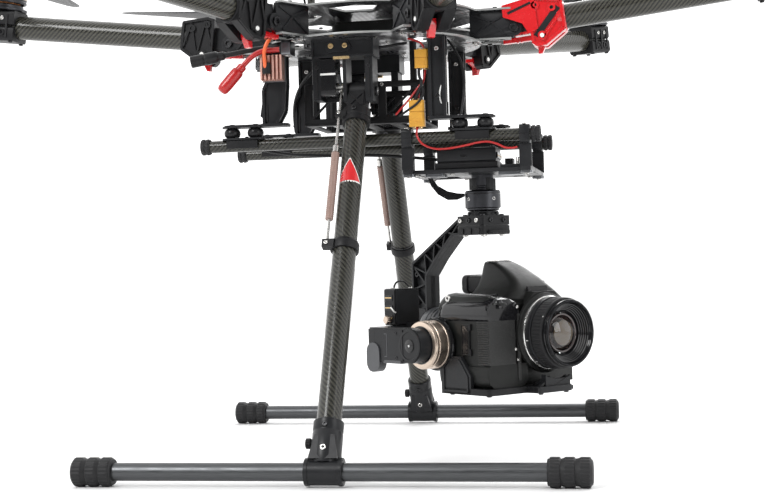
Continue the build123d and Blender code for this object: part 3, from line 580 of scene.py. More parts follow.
def sleeve(paint, ribs):
    """Moulded sleeve with its hinge knuckle and the slot that the latch lies in."""
    s = Shape()
    outline = [(16, -23), (16, 20), (24, 22), (51, 16), (51, -14), (30, -27), (20, -27)]
    for y0, y1 in ((4.3, 14), (-14, -4.3)):
        s.prism(paint, outline, y0, y1, SIDE)
    s.prism(paint, [(16, -12.6), (16, 20), (24, 22), (51, 16), (51, -12.6)], -4.4, 4.4, SIDE)
    s.prism(paint, [(17, -12), (17, 12), (3, 12)] + arc(0, -4, 8, 100, 270), -8.8, 8.8, SIDE)
    s.turn(paint, [(12.7, 44), (15.3, 44), (15.3, 50.4), (14.2, 52), (12.7, 52)], OUTWARD, 40, True)
    rim = [(17.4, -21.8), (17.4, 18.8), (24, 20.4), (49.6, 14.8), (49.6, -12.6), (29.6, -25.4), (20.6, -25.4)]
    for side in (-1, 1):
        y0, y1 = flank(side, 13.6, 16)
        s.ribs(paint, rim, 2.8, y0, y1, SIDE, close=True)
        if not ribs:
            s.prism(paint, [(-9, 7), (-9, 19), (15, 22), (24, 22), (24, -10), (14, -13), (9, -2)],
                    *flank(side, 14.8, 16.4), SIDE)
            s.bar(satin, (-4, 10), (20, 17), 2.4, *flank(side, 16.2, 17), SIDE)
        if ribs:
            for p, q in (((18, -8), (26, 19)), ((26, 19), (33, -20)), ((33, -20), (41, 15)),
                         ((41, 15), (48, -10))):
                s.bar(paint, p, q, 2.0, y0, y1, SIDE)
        else:
            s.bar(satin, (21, -17), (46, 9), 6.0, *flank(side, 13.9, 14.9), SIDE)
            s.bar(paint, (27, -20), (48, 2), 2.0, y0, y1, SIDE)
        for x, z in ((24, 14), (40, 9)):
            s.turn(paint, band(1.9, 4, 0, 2.6), aim((x, side * 13.8, z), (x, side * 20, z)), 28, True)
            s.screw(black_steel, (x, side * 14, z), (0, side, 0), 2.4, 1.8)
        place = aim((27, side * 14, -17), (27, side * 20, -17))
        s.turn(paint, band(0, 4.4, 0, 2), place, 28)
        s.turn(white, [(0, 2), (2.3, 2), (1.9, 2.7), (0, 2.7)], place, 24)
        s.box(satin, 2, 14, *flank(side, 8.6, 8.9), -9.5, 9.5)
    for x in (30, 44):
        s.screw(black_steel, (x, 0, 18.6 - (x - 30) * 0.22), (0.21, 0, 1), 2.6, 2.4)
    return s


def carbon_arm():
    s = Shape()
    s.tube(arm_carbon, (20, 0, 0), (MOTOR_X + 15, 0, 0), 12.5, 11, 56)
    return s


def motor_mount():
    s = Shape()
    for z0, z1 in ((-16, -0.5), (0.5, 17)):
        s.prism(black, rounded(-17, 17, z0, z1, 3.4), MOTOR_X - 20, MOTOR_X + 18, FRONT)
        s.prism(black, rounded(-16, 16, z0 + 1, z1 - 1, 3), MOTOR_X + 17, MOTOR_X + 19, FRONT)
    for side in (-1, 1):
        for dx in (-12, 0, 12):
            s.box(black, MOTOR_X + dx - 1.2, MOTOR_X + dx + 1.2, *flank(side, 16.5, 18), -12, 12)
        for dx in (-6.4, 6.4):
            place = aim((MOTOR_X + dx, side * 16.6, -7), (MOTOR_X + dx, side * 20, -7))
            s.turn(black, band(2.3, 3.8, 0, 1.6), place, 28, True)
            s.turn(gloss, band(0, 2.4, 0, 0.5), place, 20)
            s.screw(steel, (MOTOR_X + dx, side * 16.6, 8), (0, side, 0), 2.2, 1.6)
        for dx in (-16, 15):
            s.screw(black_steel, (MOTOR_X + dx, side * 13.2, -16), DOWN, 2.3, 1.6)
    s.turn(satin, [(0, 18.5), (9.6, 18.5), (9.6, 20.2), (8.4, 21), (0, 21)], at(MOTOR_X) @ OUTWARD, 36)
    s.turn(clear, [(0, 20.6), (5, 20.6), (4.4, 22.2), (2.4, 23), (0, 23.2)], at(MOTOR_X) @ OUTWARD, 28)
    scallop = lambda a: 24 - 0.9 * (0.5 + 0.5 * cos(8 * a)) ** 3
    s.turn(anodised, [(0, 17), (23, 17), (scallop, 17.6), (scallop, 19.6), (23, 20), (0, 20)], at(MOTOR_X),
           64)
    return s


def stator():
    s = Shape()
    s.turn(anodised, [(0, 20), (20, 20), (20, 23), (19, 24), (0, 24)], at(MOTOR_X), 48)
    coil = lambda a: 17.0 + 1.0 * cos(12 * a)
    s.turn(copper, [(9, 24), (coil, 24.4), (coil, 38), (9, 39.6)], at(MOTOR_X), 96, True)
    s.turn(steel, band(2.6, 6, 24, 40), at(MOTOR_X), 28, True)
    for i in range(12):
        s.box(black_steel, 13.5, 18, -1.1, 1.1, 25.2, 37, at(MOTOR_X) @ at(rz=30 * i + 15))
    return s


def bell():
    """Motor bell with vented top, shaft, propeller clamp plates and the two blade bolts."""
    s, c = Shape(), at(MOTOR_X)
    s.turn(anodised, [(21, 25), (23, 25.4), (23, 27.6), (22.5, 28), (22.5, 29), (23, 29.4), (23, 42.6),
                      (22.2, 44.6), (20.4, 46), (19, 46), (19, 44.6), (21, 41.4)], c, 72, True)
    s.turn(champagne, [(22.9, 30), (23.05, 30.2), (23.05, 31.3), (22.9, 31.5)], c, 72, True)
    s.turn(anodised, band(0, 21, 41.5, 42.6), c, 48)
    for i in range(6):
        s.prism(anodised, [(6, -2.2), (20, -3.6), (20, 3.6), (6, 2.2)], 42.4, 45.6, c @ at(rz=60 * i))
    s.turn(anodised, [(0, 42.4), (8.4, 42.4), (8.4, 45.2), (7.4, 46), (0, 46)], c, 40)
    low, high = BLADE_Z - 3.2, BLADE_Z + 3.2
    for z0, z1 in ((46, low), (high, high + 2.5)):
        s.pad(satin, -8, 8, -20, 20, z0, z1, 7, c)
    s.turn(steel, band(0, 2.5, 20, high + 1), c, 24)
    s.turn(satin, band(2.4, 4, low, high), c, 28, True)
    s.turn(red, [(0, high + 2.4), (4.4, high + 2.4), (4.4, high + 3.6), (3.4, high + 4), (0, high + 4)], c,
           32)
    for y in (-BLADE_BOLT, BLADE_BOLT):
        s.turn(steel, band(0, 2, low - 1, high + 2.6), c @ at(0, y), 24)
        s.screw(steel, c @ Vector((0, y, high + 2.4)), UP, 3.4, 1.7)
    return s


def blade(side, hand):
    """Folding blade: a thick bolted root, then a twisted tapering wing with a cambered section."""
    s, span = Shape(), BLADE_TIP - BLADE_BOLT
    c = at(MOTOR_X, side * BLADE_BOLT, BLADE_Z, 0, 0, 0 if side > 0 else 180)
    keys = [(0.05, 9, 4.6, 2), (0.12, 14, 4.4, 9), (0.28, 30, 3.6, 19), (0.45, 28, 3.0, 15.5),
            (0.62, 25, 2.4, 12), (0.8, 20, 1.9, 9.6), (0.93, 15, 1.5, 8), (0.98, 10.5, 1.1, 7.4),
            (1.0, 6, 0.8, 7)]
    sections = []
    for share, chord, thick, pitch in keys:
        tilt = radians(-hand * pitch)
        ring = []
        for i in range(20):
            a = tau * i / 20
            x, z = chord / 2 * cos(a), thick / 2 * sin(a)
            z += 0.1 * thick * (1 - (2 * x / chord) ** 2)
            ring.append(c @ Vector((x * cos(tilt) - z * sin(tilt), share * span, x * sin(tilt)
                                    + z * cos(tilt))))
        sections.append(ring)
    s.loft(blade_carbon, sections)
    s.turn(blade_carbon, [(2.1, -3), (5.9, -3), (6.5, -2.4), (6.5, 2.4), (5.9, 3), (2.1, 3)], c, 40, True)
    s.prism(blade_carbon, [(-4.5, 3), (4.5, 3), (4.4, 0.08 * span), (-4.4, 0.08 * span)], -2.3, 2.3, c)
    s.turn(steel, band(2.1, 3.2, -3, 3), c, 28, True)
    return s


def latch():
    s = Shape()
    lever = [(30, -16.5), (14, -13.2), (-10, -13.2), (-10, -8.5), (-13.5, -8.5), (-13.5, -17.5), (14, -18.5),
             (21, -24), (20, -33), (24, -33), (30, -23.5)]
    s.prism(red, lever, -3.5, 3.5, SIDE)
    for x in (16, 20):
        s.box(red, x - 16, x - 14, -3.7, 3.7, -18.7, -17.6)
    s.tube(steel, (26, -3.9, -20), (26, 3.9, -20), 1.5, 0, 20)
    return s


made = {}
for k, name in enumerate(NAMES):
    arm, here = "arm_" + name, ARMS[k]
    if k == 0:
        made["tube"] = emit(carbon_arm(), "tube_" + name, arm, here, 0.2, "arm_0")
        made["mount"] = emit(motor_mount(), "motor_mount_" + name, arm, here, 0.7)
        made["stator"] = emit(stator(), "stator_" + name, arm, here, 0.15)
        made["bell"] = emit(bell(), "bell_" + name, "rotor_" + name, here, 0.2, "rotor_0")
        made["latch"] = emit(latch(), "latch_lever_" + name, "latch_" + name, here, 0.5, "latch_0")
        made["red_sleeve"] = emit(sleeve(red, False), "sleeve_" + name, arm, here, 0.8)
    else:
        again(made["tube"], "tube_" + name, arm, here, f"arm_{k}")
        again(made["mount"], "motor_mount_" + name, arm, here)
        again(made["stator"], "stator_" + name, arm, here)
        again(made["bell"], "bell_" + name, "rotor_" + name, here, f"rotor_{k}")
        again(made["latch"], "latch_lever_" + name, "latch_" + name, here, f"latch_{k}")
        if k == 1:
            made["sleeve"] = emit(sleeve(black, True), "sleeve_" + name, arm, here, 0.7)
        else:
            again(made["sleeve"], "sleeve_" + name, arm, here)
    for side, letter in ((1, "a"), (-1, "b")):
        key, body = f"blade_{letter}_{k % 2}", f"blade_{name}_{letter}"
        if key in made:
            again(made[key], "wing_" + name + "_" + letter, body, here, f"blade_{k}_{letter}")
        else:
            made[key] = emit(blade(side, 1 - 2 * (k % 2)), "wing_" + name + "_" + letter, body, here, 0.15,
                             f"blade_{k}_{letter}")


# ---------------- centre frame
AIR = "airframe"
PIVOT_R = ROOT_X + 4 * sin(radians(DIHEDRAL))
PIVOT_Z = ROOT_Z - 4 * cos(radians(DIHEDRAL))
LOW, HIGH = 411.0, 443.0
SPOKES = [at(rz=60 * k) for k in range(6)]

from_cad("centre_plates", plate_carbon, 0.45, plate_edge)
from_cad("arm_brackets", satin, 0.5)

s = Shape()
for k, spoke in enumerate(SPOKES):
    for side in (-1, 1):
        start = spoke @ Vector((PIVOT_R, side * 12, PIVOT_Z))
        s.screw(black_steel, start, spoke.to_3x3() @ Vector((0, side, 0)), 4.4, 2.6)
        s.ribs(satin, [(106, 416), (126, 430), (144, 438)], 2, *flank(side, 11.6, 13.2), spoke @ SIDE)
        s.ribs(satin, [(106, 438), (126, 430), (140, 416)], 2, *flank(side, 11.6, 13.2), spoke @ SIDE)
    s.tube(steel, spoke @ Vector((PIVOT_R, -12, PIVOT_Z)), spoke @ Vector((PIVOT_R, 12, PIVOT_Z)), 3, 0, 24)
    for y in (-5, 5):
        for z, way in ((LOW, -1), (HIGH, 1)):
            s.screw(steel, spoke @ Vector((108, y, z)), (0, 0, way), 2.7, 2)
    for y in (-13, 13):
        s.turn(gloss, [(1.6, 0), (3.4, 0), (3.2, 0.7), (1.6, 0.7)], spoke @ aim((136, y, LOW),
                (136, y, LOW - 5)), 24, True)
        s.screw(black_steel, spoke @ Vector((121, y, LOW)), DOWN, 2.3, 1.5)
        s.screw(black_steel, spoke @ Vector((130, y, HIGH)), UP, 2.3, 1.5)
    for r, y in ((78, -30), (78, 30), (52, 0)):
        s.screw(steel if r < 60 else black_steel, spoke @ Vector((r, y, LOW)), DOWN, 2.2, 1.5)
        s.screw(black_steel, spoke @ Vector((r, y, HIGH)), UP, 2.2, 1.5)
emit(s, "frame_screws", AIR, bevel=0.15, stands_for="frame_fasteners")

s = Shape()
mast = at(-62)
s.turn(black, [(0, 443), (11, 443), (11, 445.2), (9.4, 446), (5.4, 446.6), (5, 450), (4.2, 451), (4, 452)],
       mast, 40)
for i in range(4):
    s.screw(steel, mast @ at(rz=45 + 90 * i) @ Vector((7.8, 0, 446)), UP, 1.6, 1.0)
s.turn(carbon, band(0, 4, 446, 498), mast, 36)
s.turn(black, [(4, 488), (6, 489), (7.4, 497), (26, 497), (28.4, 498.6), (29, 501), (29, 504), (0, 504)],
       mast, 64)
s.turn(shell, [(0, 504), (28.6, 504), (28.6, 504.6), (29, 505), (28.4, 507.6), (26, 509.8), (20, 510.8),
               (0, 511)], mast, 64)
s.prism(white, [(20, -3), (25, 0), (20, 3), (21.5, 0)], 510.2, 510.9, mast)
s.turn(cap_rubber, [(4, 452), (5, 452.6), (5, 458), (4, 458.6)], mast, 32)
emit(s, "gps_mast", AIR, bevel=0.2, stands_for="gps_antenna")
wire("gps_lead", [(-62, 0, 490), (-70, 1, 486), (-71, 3, 470), (-68, 4, 455), (-66, 5, 446), (-58, 8, 444)],
     1.2, lead_black)

s = Shape()
s.pad(shell, -36, 36, -24, 24, 413, 434, 4)
s.pad(shell, -33, 33, -21, 21, 434, 437, 4)
for i in range(8):
    for side in (-1, 1):
        s.box(gloss, -29 + 7.6 * i, -24 + 7.6 * i, *flank(side, 23.6, 24.6), 416, 424)
        s.box(brass, -28 + 7.6 * i, -25 + 7.6 * i, *flank(side, 24.2, 24.8), 419, 420)
for x in (-31, 31):
    for y in (-19, 19):
        s.screw(black_steel, (x, y, 434), UP, 2.2, 1.6)
s.box(white, -12, 12, -1, 1, 436.9, 437.1)
emit(s, "flight_controller", AIR, bevel=0.6, stands_for="control_electronics")

s = Shape()
s.box(pink, -95, -73, -79, -72, 374, 399)
for i in range(6):
    s.box(pink, -95 + 4 * i, -93 + 4 * i, -84, -78, 374.4, 398.6)
s.box(gunmetal, -95.4, -72.6, -73.5, -72, 373, 400)
for z in (377, 396):
    s.screw(steel, (-75, -79, z), (0, -1, 0), 1.4, 1.0)
s.pad(lead_black, -92, -84, -88, -82, 380, 391, 2.4)
emit(s, "power_module", AIR, bevel=0.35)


# ---------------- wiring
BLACK_EXIT, RED_EXIT = BLACK_LEAD[0][1:], RED_LEAD[0][1:]

s = Shape()
s.prism(gunmetal, rounded(-92, -72.2, 397, 411, 2), -71, -62, FRONT)
s.prism(black, rounded(-91, -73.2, 398, 410.6, 2), -72, -70.5, FRONT)
for y, z in (BLACK_EXIT, RED_EXIT):
    s.turn(cap_rubber, [(2.7, 0), (4.2, 0), (3.8, 2.4), (2.7, 3)], aim((-71.4, y, z), (-80, y, z)), 28, True)
for y in (-88, -76):
    s.screw(steel, (-66, y, 397), DOWN, 2.0, 1.2)
emit(s, "battery_terminal", AIR, bevel=0.5, stands_for="power_wiring")


def power_plug(name, x0, x1, z0, z1, lean):
    """Pair of moulded power connector halves pushed together, with solder cups at both ends."""
    s, mid = Shape(), z0 + (z1 - z0) * 0.56
    here = at((x0 + x1) / 2, -66, 0, 0, lean, 0)
    half = (x1 - x0) / 2
    s.prism(ochre, [(-half, -4), (half - 2, -4), (half, -2), (half, 4), (-half, 4)], z0, mid - 0.3, here)
    s.prism(ochre, [(-half + 0.8, -3.3), (half - 2.4, -3.3), (half - 0.8, -1.7), (half - 0.8, 3.3),
                    (-half + 0.8, 3.3)], mid - 0.4, mid + 0.4, here)
    s.prism(ochre, [(-half, -4), (half - 2, -4), (half, -2), (half, 4), (-half, 4)], mid + 0.3, z1, here)
    for i in range(4):
        s.box(ochre, -half + 1, half - 3, -4.3, -3.9, z0 + 2 + 1.5 * i, z0 + 2.8 + 1.5 * i, here)
    for dx in (-2.8, 2.8):
        for a, b in ((z0, z0 - 1.8), (z1, z1 + 1.8)):
            s.turn(brass, band(1.2, 2.3, 0, 1.6), here @ aim((dx, 0, a), (dx, 0, b)), 20, True)
    return emit(s, name, AIR, bevel=0.35)


power_plug("power_plug_top", 57, 71, 380, 398, 0)
power_plug("power_plug_low", 50, 65, 323, 349, 0)
for name, points, radius, paint in (
        ("wire_red", [(66, -64, 381), (66.5, -64.5, 374), (63, -65, 364), (58, -65, 356), (60.5, -65, 348)],
         1.1, lead_red),
        ("wire_pale_a", [(86, -60, 330), (80, -66, 345), (76, -68, 360), (80, -66, 376), (86, -60, 392)], 0.7,
         white),
        ("wire_pale_b", [(88, -62, 330), (83, -68, 342), (80, -70, 352), (83, -68, 366), (88, -62, 380)], 0.7,
         white),
        ("wire_black", [(61, -68, 381), (60, -68.5, 373), (64, -69, 366), (60, -69, 357), (55, -68, 348)],
         1.5, lead_black),
        ("wire_red_up", [(66, -66, 397), (66, -67, 402), (60, -68, 407), (50, -64, 410)], 1.1, lead_red),
        ("wire_red_branch", [(63, -66, 366), (58, -67, 360), (50, -67, 350), (42, -66, 342), (36, -64, 336)],
         1.0, lead_red),
        ("wire_black_branch", [(63, -70, 364), (66, -70, 356), (60, -71, 346), (50, -70, 340),
                               (40, -68, 334)], 1.2, lead_black),
        ("wire_long_red", [(57.5, -66, 323), (57.5, -71, 319), (58, -76, 313), (64, -77, 304), (78, -77, 299),
                           (100, -77, 301), (124, -77, 306), (136, -77, 303), (146, -75, 297), (155, -73,
                                   299)], 1.0, lead_red),
        ("servo_lead", [(-89, -86.2, 386), (-89, -89, 393), (-88, -92.5, 403), (-84, -91, 412),
                        (-78, -84, 420),
                        (-69, -74, 424.5), (-60, -64, 426)], 1.9, orange),
        ("frame_lead_a", [(-60, -40, 409.5), (-40, -56, 404), (-10, -60, 400), (20, -56, 404),
                          (44, -40, 409.5)], 1.4, lead_black),
        ("frame_lead_b", [(86, -46, 409.5), (97, -52, 396), (104, -56, 374), (103, -58, 352),
                          (100, -62, 334)], 1.2, lead_black),
        ("frame_lead_c", [(-50, 30, 409.5), (-70, 36, 398), (-90, 46, 380), (-100, 58, 356), (-98, 62, 334)],
         1.6, lead_black),
        ("gimbal_lead", [(-142, -40, 318), (-100, -36, 306), (-50, -44, 300), (0, -50, 299), (40, -46, 296),
                         (74, -34, 292)],
         1.6, lead_black)):
    wire(name, points, radius, paint)

s = Shape()
s.prism(gloss, [(56, 277), (60, 277), (66, 268), (76, 262), (86, 259.6), (93.4, 259), (93.4, 256), (86, 253),
                (76, 253), (66, 259), (59, 268)], -5.6, -4.6, SIDE)
emit(s, "ribbon_cable", AIR, bevel=0.1)


# ---------------- retract mounts and legs
HIP_Y, HIP_Z = 66, 360
SKID_Y, SKID_Z = 250, 13
MARK_Z, MARK_HIGH, MARK_HALF = -107, 23, 12


def retract_mount(side, name):
    """Portal with its raised face plate, servo and axle."""
    s = Shape()
    y0, y1 = flank(side, 54, 82)
    s.box(satin, -43, 19, y0, y1, 393, 411)
    for x0, x1, low in ((-43, -35, 352), (-12.8, -9.3, 349), (9.3, 17, 349)):
        s.box(satin, x0, x1, *flank(side, 55, 80), low, 394)
    face = flank(side, 81.6, 84)
    s.ribs(satin, [(-42, 394), (-42, 410), (18, 410), (18, 394)], 2, *face, SIDE, close=True)
    boss = [(-24, 411), (-29, 402), (-26, 398), (-6, 398), (-3, 402), (-8, 411)]
    s.prism(satin, boss, *flank(side, 81.6, 84.6), SIDE)
    for x in (-23, -9):
        s.screw(brass, (x, side * 84.4, 404), (0, side, 0), 2.6, 1.4)
    s.box(brass, -21, -5, *flank(side, 80, 84.4), 391, 393.6)
    for x in (-39, 13):
        s.screw(black_steel, (x, side * 80, 384), (0, side, 0), 2.2, 1.4)
        s.ribs(black, [(x, 390), (x, 354)], 2.4, *flank(side, 79, 81), SIDE)
    s.prism(gloss, rounded(side * 57 if side > 0 else -82, 82 if side > 0 else -57, 356, 393, 2), -34.6, -20,
            FRONT)
    s.box(white, -34.9, -19.8, *flank(side, 80.6, 82.1), 376, 378)
    s.turn(steel, band(0, 4, -20, -15), at(0, side * HIP_Y, HIP_Z + 6) @ OUTWARD, 24)
    s.bar(gunmetal, (side * 66, 366), (side * 76, 378), 5, -18.6, -16.6, FRONT)
    s.turn(steel, band(0, 3, -16, 19), at(0, side * HIP_Y, HIP_Z) @ OUTWARD, 28)
    for x0, way in ((17, 1), (-12.8, -1)):
        s.screw(black_steel, (x0, side * 66, 360), (way, 0, 0), 4.6, 2.2)
    s.box(black, -43, 17, *flank(side, 56, 58), 352, 356)
    return emit(s, name, AIR, bevel=0.5)


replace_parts(retract_mount(1, "retract_mount_left"), "retract_mounts")
retract_mount(-1, "retract_mount_right")

RUN = hypot(SKID_Y - HIP_Y, HIP_Z - SKID_Z)
LEAN = degrees(atan2(SKID_Y - HIP_Y, HIP_Z - SKID_Z))


def leg(side):
    s, out = Shape(), side * 8
    s.turn(black, [(3.1, -9), (9, -9), (10, -8), (10, 8), (9, 9), (3.1, 9)], OUTWARD, 40, True)
    s.prism(black, band(-9, 9, -24, -3), -9, 9, SIDE)
    for y in (-9.6, 9.6):
        s.ribs(black, [(-7, -6), (7, -22), (7, -6), (-7, -22)], 1.6, y - 0.7, y + 0.7, SIDE)
    s.turn(black, [(11, -38), (13.5, -38), (13.5, -33.5), (12.9, -33), (12.9, -32), (13.5, -31.5),
                   (13.5, -23), (12, -21.6), (0, -21.6)], I, 48)
    s.box(black, -19, -8, out - 3.5, out + 3.5, -34, -28)
    s.screw(steel, (-15.5, out + side * 3.4, -31), (0, side, 0), 1.8, 1.2)
    for y in (side, -side):
        s.screw(black_steel, (0, y * 13.2, -27), (0, y, 0), 2.4, 1.8)
    s.turn(black, [(11, -178), (13.3, -178), (13.5, -177), (13.5, -171), (13.3, -170), (11, -170)], I, 48,
           True)
    s.turn(gloss, [(11.05, -169.8), (12.2, -169.8), (12.2, -168), (11.05, -167.6)], I, 48, True)
    s.prism(black, [(-19.5, out - 4), (-8, out - 4.4), (-8, out + 4.4), (-19.5, out + 4)], -178, -170)
    s.screw(steel, (-15.5, out + side * 4, -174), (0, side, 0), 2, 1.4)
    s.tube(steel, (-15.5, out, -2), (-15.5, out, -67), 1.5, 0, 20)
    s.screw(steel, (-15.5, out, -4), UP, 2.6, 2.4)
    s.turn(steel, [(0, -74.4), (3.2, -74), (3.2, -67), (2.4, -66), (0, -66)], at(-15.5, out), 28)
    coil = [(3.6 + (0.4 if i % 2 else 0), -147.6 + 1.15 * i) for i in range(64)]
    s.turn(sleeve_tan, [(0, -148)] + coil + [(0, -74.4)], at(-15.5, out), 28)
    s.tube(steel, (-15.5, out, -147), (-15.5, out, -172), 1.5, 0, 20)
    z = -RUN
    s.turn(satin, [(11, z + 46), (12.8, z + 46), (13.5, z + 45.2), (13.5, z + 37), (13.1, z + 36.4),
                   (13.1, z + 35), (13.5, z + 34.4), (13.5, z + 12), (12, z + 6), (0, z + 6)], I, 48)
    s.turn(satin, [(8.05, -17), (10.9, -17), (11.5, -16.4), (11.5, 16.4), (10.9, 17), (8.05, 17)],
           at(0, 0, z) @ OUTWARD, 48, True)
    for x in (-15, 15):
        s.turn(satin, band(11.4, 12.2, -1.6, 1.6), at(x, 0, z) @ OUTWARD, 48, True)
    for y in (-1, 1):
        s.prism(satin, [(-13, z + 8), (13, z + 8), (9, z + 30), (-9, z + 30)], *flank(y, 9, 12.4), SIDE)
        s.screw(steel, (0, y * 12.2, z + 18), (0, y, 0), 2.6, 2.0)
        s.screw(black_steel, (0, y * 12.9, z + 39), (0, y, 0), 2.2, 1.8)
    knob = lambda a: 4.4 + 0.35 * cos(12 * a)
    s.turn(black, [(0, 0), (3.4, 0), (3.4, 2), (knob, 2.4), (knob, 6.4), (3.6, 7), (0, 7)],
           aim((-12, 0, z + 26), (-20, 0, z + 26)), 48)
    return s


def skid(side):
    s, y = Shape(), side * SKID_Y
    s.tube(grey, (-226, y, SKID_Z), (226, y, SKID_Z), 8, 6.8, 48)
    for end in (-1, 1):
        tip = end * 230
        place = aim((tip - end * 38, y, SKID_Z), (tip, y, SKID_Z))
        tread = lambda a: 12.75 + 0.3 * cos(24 * a)
        profile = [(8.05, 0), (11.2, 0), (11.5, 0.8), (11.5, 1.6)]
        for start in (1.8, 14, 27):
            profile += [(12.2, start), (tread, start + 0.9), (tread, start + 8.2), (12.2, start + 9),
                        (11.3, start + 9.4)]
        s.turn(cap_rubber, profile + [(10.4, 37.4), (8.6, 38), (0, 38)], place, 96)
    return s


for side, word in ((1, "left"), (-1, "right")):
    body, hip = "leg_" + word, at(0, side * HIP_Y, HIP_Z, side * LEAN)
    emit(leg(side), "leg_fittings_" + word, body, hip, 0.35, body)
    s = Shape()
    s.tube(carbon, (0, 0, -28), (0, 0, 12 - RUN), 11, 9.5, 64)
    emit(s, "leg_tube_" + word, body, hip, 0.2)
    emit(skid(side), "skid_tube_" + word, body, I, 0.3, "skid_" + word)

# a warning triangle wrapped on the outer side of each leg
for side, word in ((1, "left"), (-1, "right")):
    hip = at(0, side * HIP_Y, HIP_Z, side * LEAN)
    for tag, paint, grow, radius in (("edge", white, 1.5, 11.06), ("field", red, 0.0, 11.12)):
        s = Shape()
        rows, columns = 8, 10
        grid = []
        for i in range(rows + 1):
            share = i / rows
            half = (MARK_HALF + grow) * (1 - share) + 0.4
            z = MARK_Z + (MARK_HIGH + 2 * grow) * share - grow
            grid.append([(side * (pi / 2) + (-half + 2 * half * j / columns) / radius, z)
                         for j in range(columns + 1)])
        verts = [[s.bm.verts.new((radius * cos(a), radius * sin(a), z)) for a, z in row] for row in grid]
        for i in range(rows):
            for j in range(columns):
                s.face(paint, [verts[i][j], verts[i][j + 1], verts[i + 1][j + 1], verts[i + 1][j]],
                       band(j, j + 1, i, i + 1))
        emit(s, f"leg_mark_{tag}_{word}", "leg_" + word, hip, 0)


# ---------------- rods, dampers, hangers and tray
ROD_Y, ROD_Z = 64, 312
DAMPER_X = (-131, -107, 99, 124)

s = Shape()
for side in (-1, 1):
    y = side * ROD_Y
    s.tube(carbon, (-160, y, ROD_Z), (174, y, ROD_Z), 6, 4.8, 48)
    for tip, inward in ((-163, 1), (177, -1)):
        place = aim((tip + inward * 9, y, ROD_Z), (tip, y, ROD_Z))
        grip = lambda a: 7.9 + 0.25 * cos(16 * a)
        s.turn(cap_rubber, [(6.05, 0), (7.4, 0), (7.5, 0.8), (grip, 1.2), (grip, 3.6), (7.3, 4.2), (7.3, 5),
                            (grip, 5.6), (grip, 8.2), (7.2, 9), (5, 9.2), (4.6, 8.4), (0, 8.4)], place, 64)
    for back, front in ((-131, -107), (99, 124)):
        s.prism(black, [(y - 9, 309), (y + 9, 309), (y + 9, 316.5), (y + 7, 317.6), (y - 7, 317.6),
                        (y - 9, 316.5)], back - 4, front + 4, FRONT)
        s.pad(satin, back - 10, front + 10, y - 9, y + 9, 317.4, 319.5, 8)
        for x in (back + 7, front - 7):
            for dy in (-7.2, 7.2):
                s.screw(black_steel, (x, y + dy, 319.5), UP, 1.7, 1.0)
emit(s, "rods_and_saddles", AIR, bevel=0.3, stands_for="gimbal_rods")

s = Shape()
for side in (-1, 1):
    for x in DAMPER_X:
        waist = [(0, -5.1), (4.8, -5.1), (5.6, -4.4), (7.2, -3.4), (8.0, -1.7), (8.2, 0), (8.0, 1.7),
                 (7.2, 3.4), (5.6, 4.4), (4.8, 5.1), (0, 5.1)]
        s.turn(rubber, waist, at(x, side * ROD_Y, 324.5), 48)
emit(s, "dampers", AIR, bevel=0.2, stands_for="damper_balls")

s = Shape()
for side in (-1, 1):
    y = side * ROD_Y
    back = [(-84, 331), (-76, 345), (-74, 371), (-74, 411), (-91, 411), (-91, 376), (-96, 366), (-96, 331)]
    front = [(86, 331), (86, 411), (72, 411), (72, 331)]
    for outline in (back, front):
        s.prism(satin, outline, y - 5, y + 5, SIDE)
        for dy in (-6.4, 6.4):
            s.ribs(satin, outline, 2.6, y + dy - 1.6, y + dy + 1.6, SIDE, close=True)
    for x0, x1 in ((-141, -97), (89, 134)):
        s.pad(satin, x0, x1, y - 9, y + 9, 329.5, 331.4, 8.8)
        s.pad(satin, x0 + 2, x1 - 2, y - 7, y + 7, 331.2, 332.5, 6.8)
        for x in DAMPER_X:
            if x0 < x < x1:
                s.screw(gunmetal, (x, y, 332.4), UP, 2.6, 1.2)
    s.pad(satin, -100, -72, y - 8.5, y + 8.5, 329.5, 332.5, 4)
    s.pad(satin, 68, 100, y - 8.5, y + 8.5, 329.5, 332.5, 4)
    for x, z in ((-83, 398), (-83, 382), (79, 398), (79, 352)):
        s.screw(steel if z > 390 else black_steel, (x, y - 8, z), (0, -1, 0), 2.2, 1.4)
        s.screw(black_steel, (x, y + 8, z), (0, 1, 0), 2.2, 1.4)
    s.box(steel, 87, 88.2, y - 3.4, y + 1.4, 346, 392)
    s.prism(black, [(-100, 340), (-92, 334), (-92, 352), (-98, 352)], y - 6, y + 6, SIDE)
emit(s, "hangers", AIR, bevel=0.35, stands_for="hanger_brackets")

from_cad("equipment_tray", black, 0.6)
s = Shape()
for side in (-1, 1):
    for x in (-38, 0, 38):
        s.ribs(black, [(x - 15, 337), (x + 15, 366)], 2.2, *flank(side, 43.5, 46), SIDE)
    for x in (-19, 19):
        s.screw(steel, (x, side * 46, 369), (0, side, 0), 1.9, 1.2)
s.box(gloss, -40, 40, -34, 34, 332.2, 334)
for i in range(4):
    s.prism(lead_black, rounded(-36, 36, 333.5, 338, 1.5), -30 + 18 * i, -22 + 18 * i, FRONT)
emit(s, "tray_ribs", AIR, bevel=0.3)


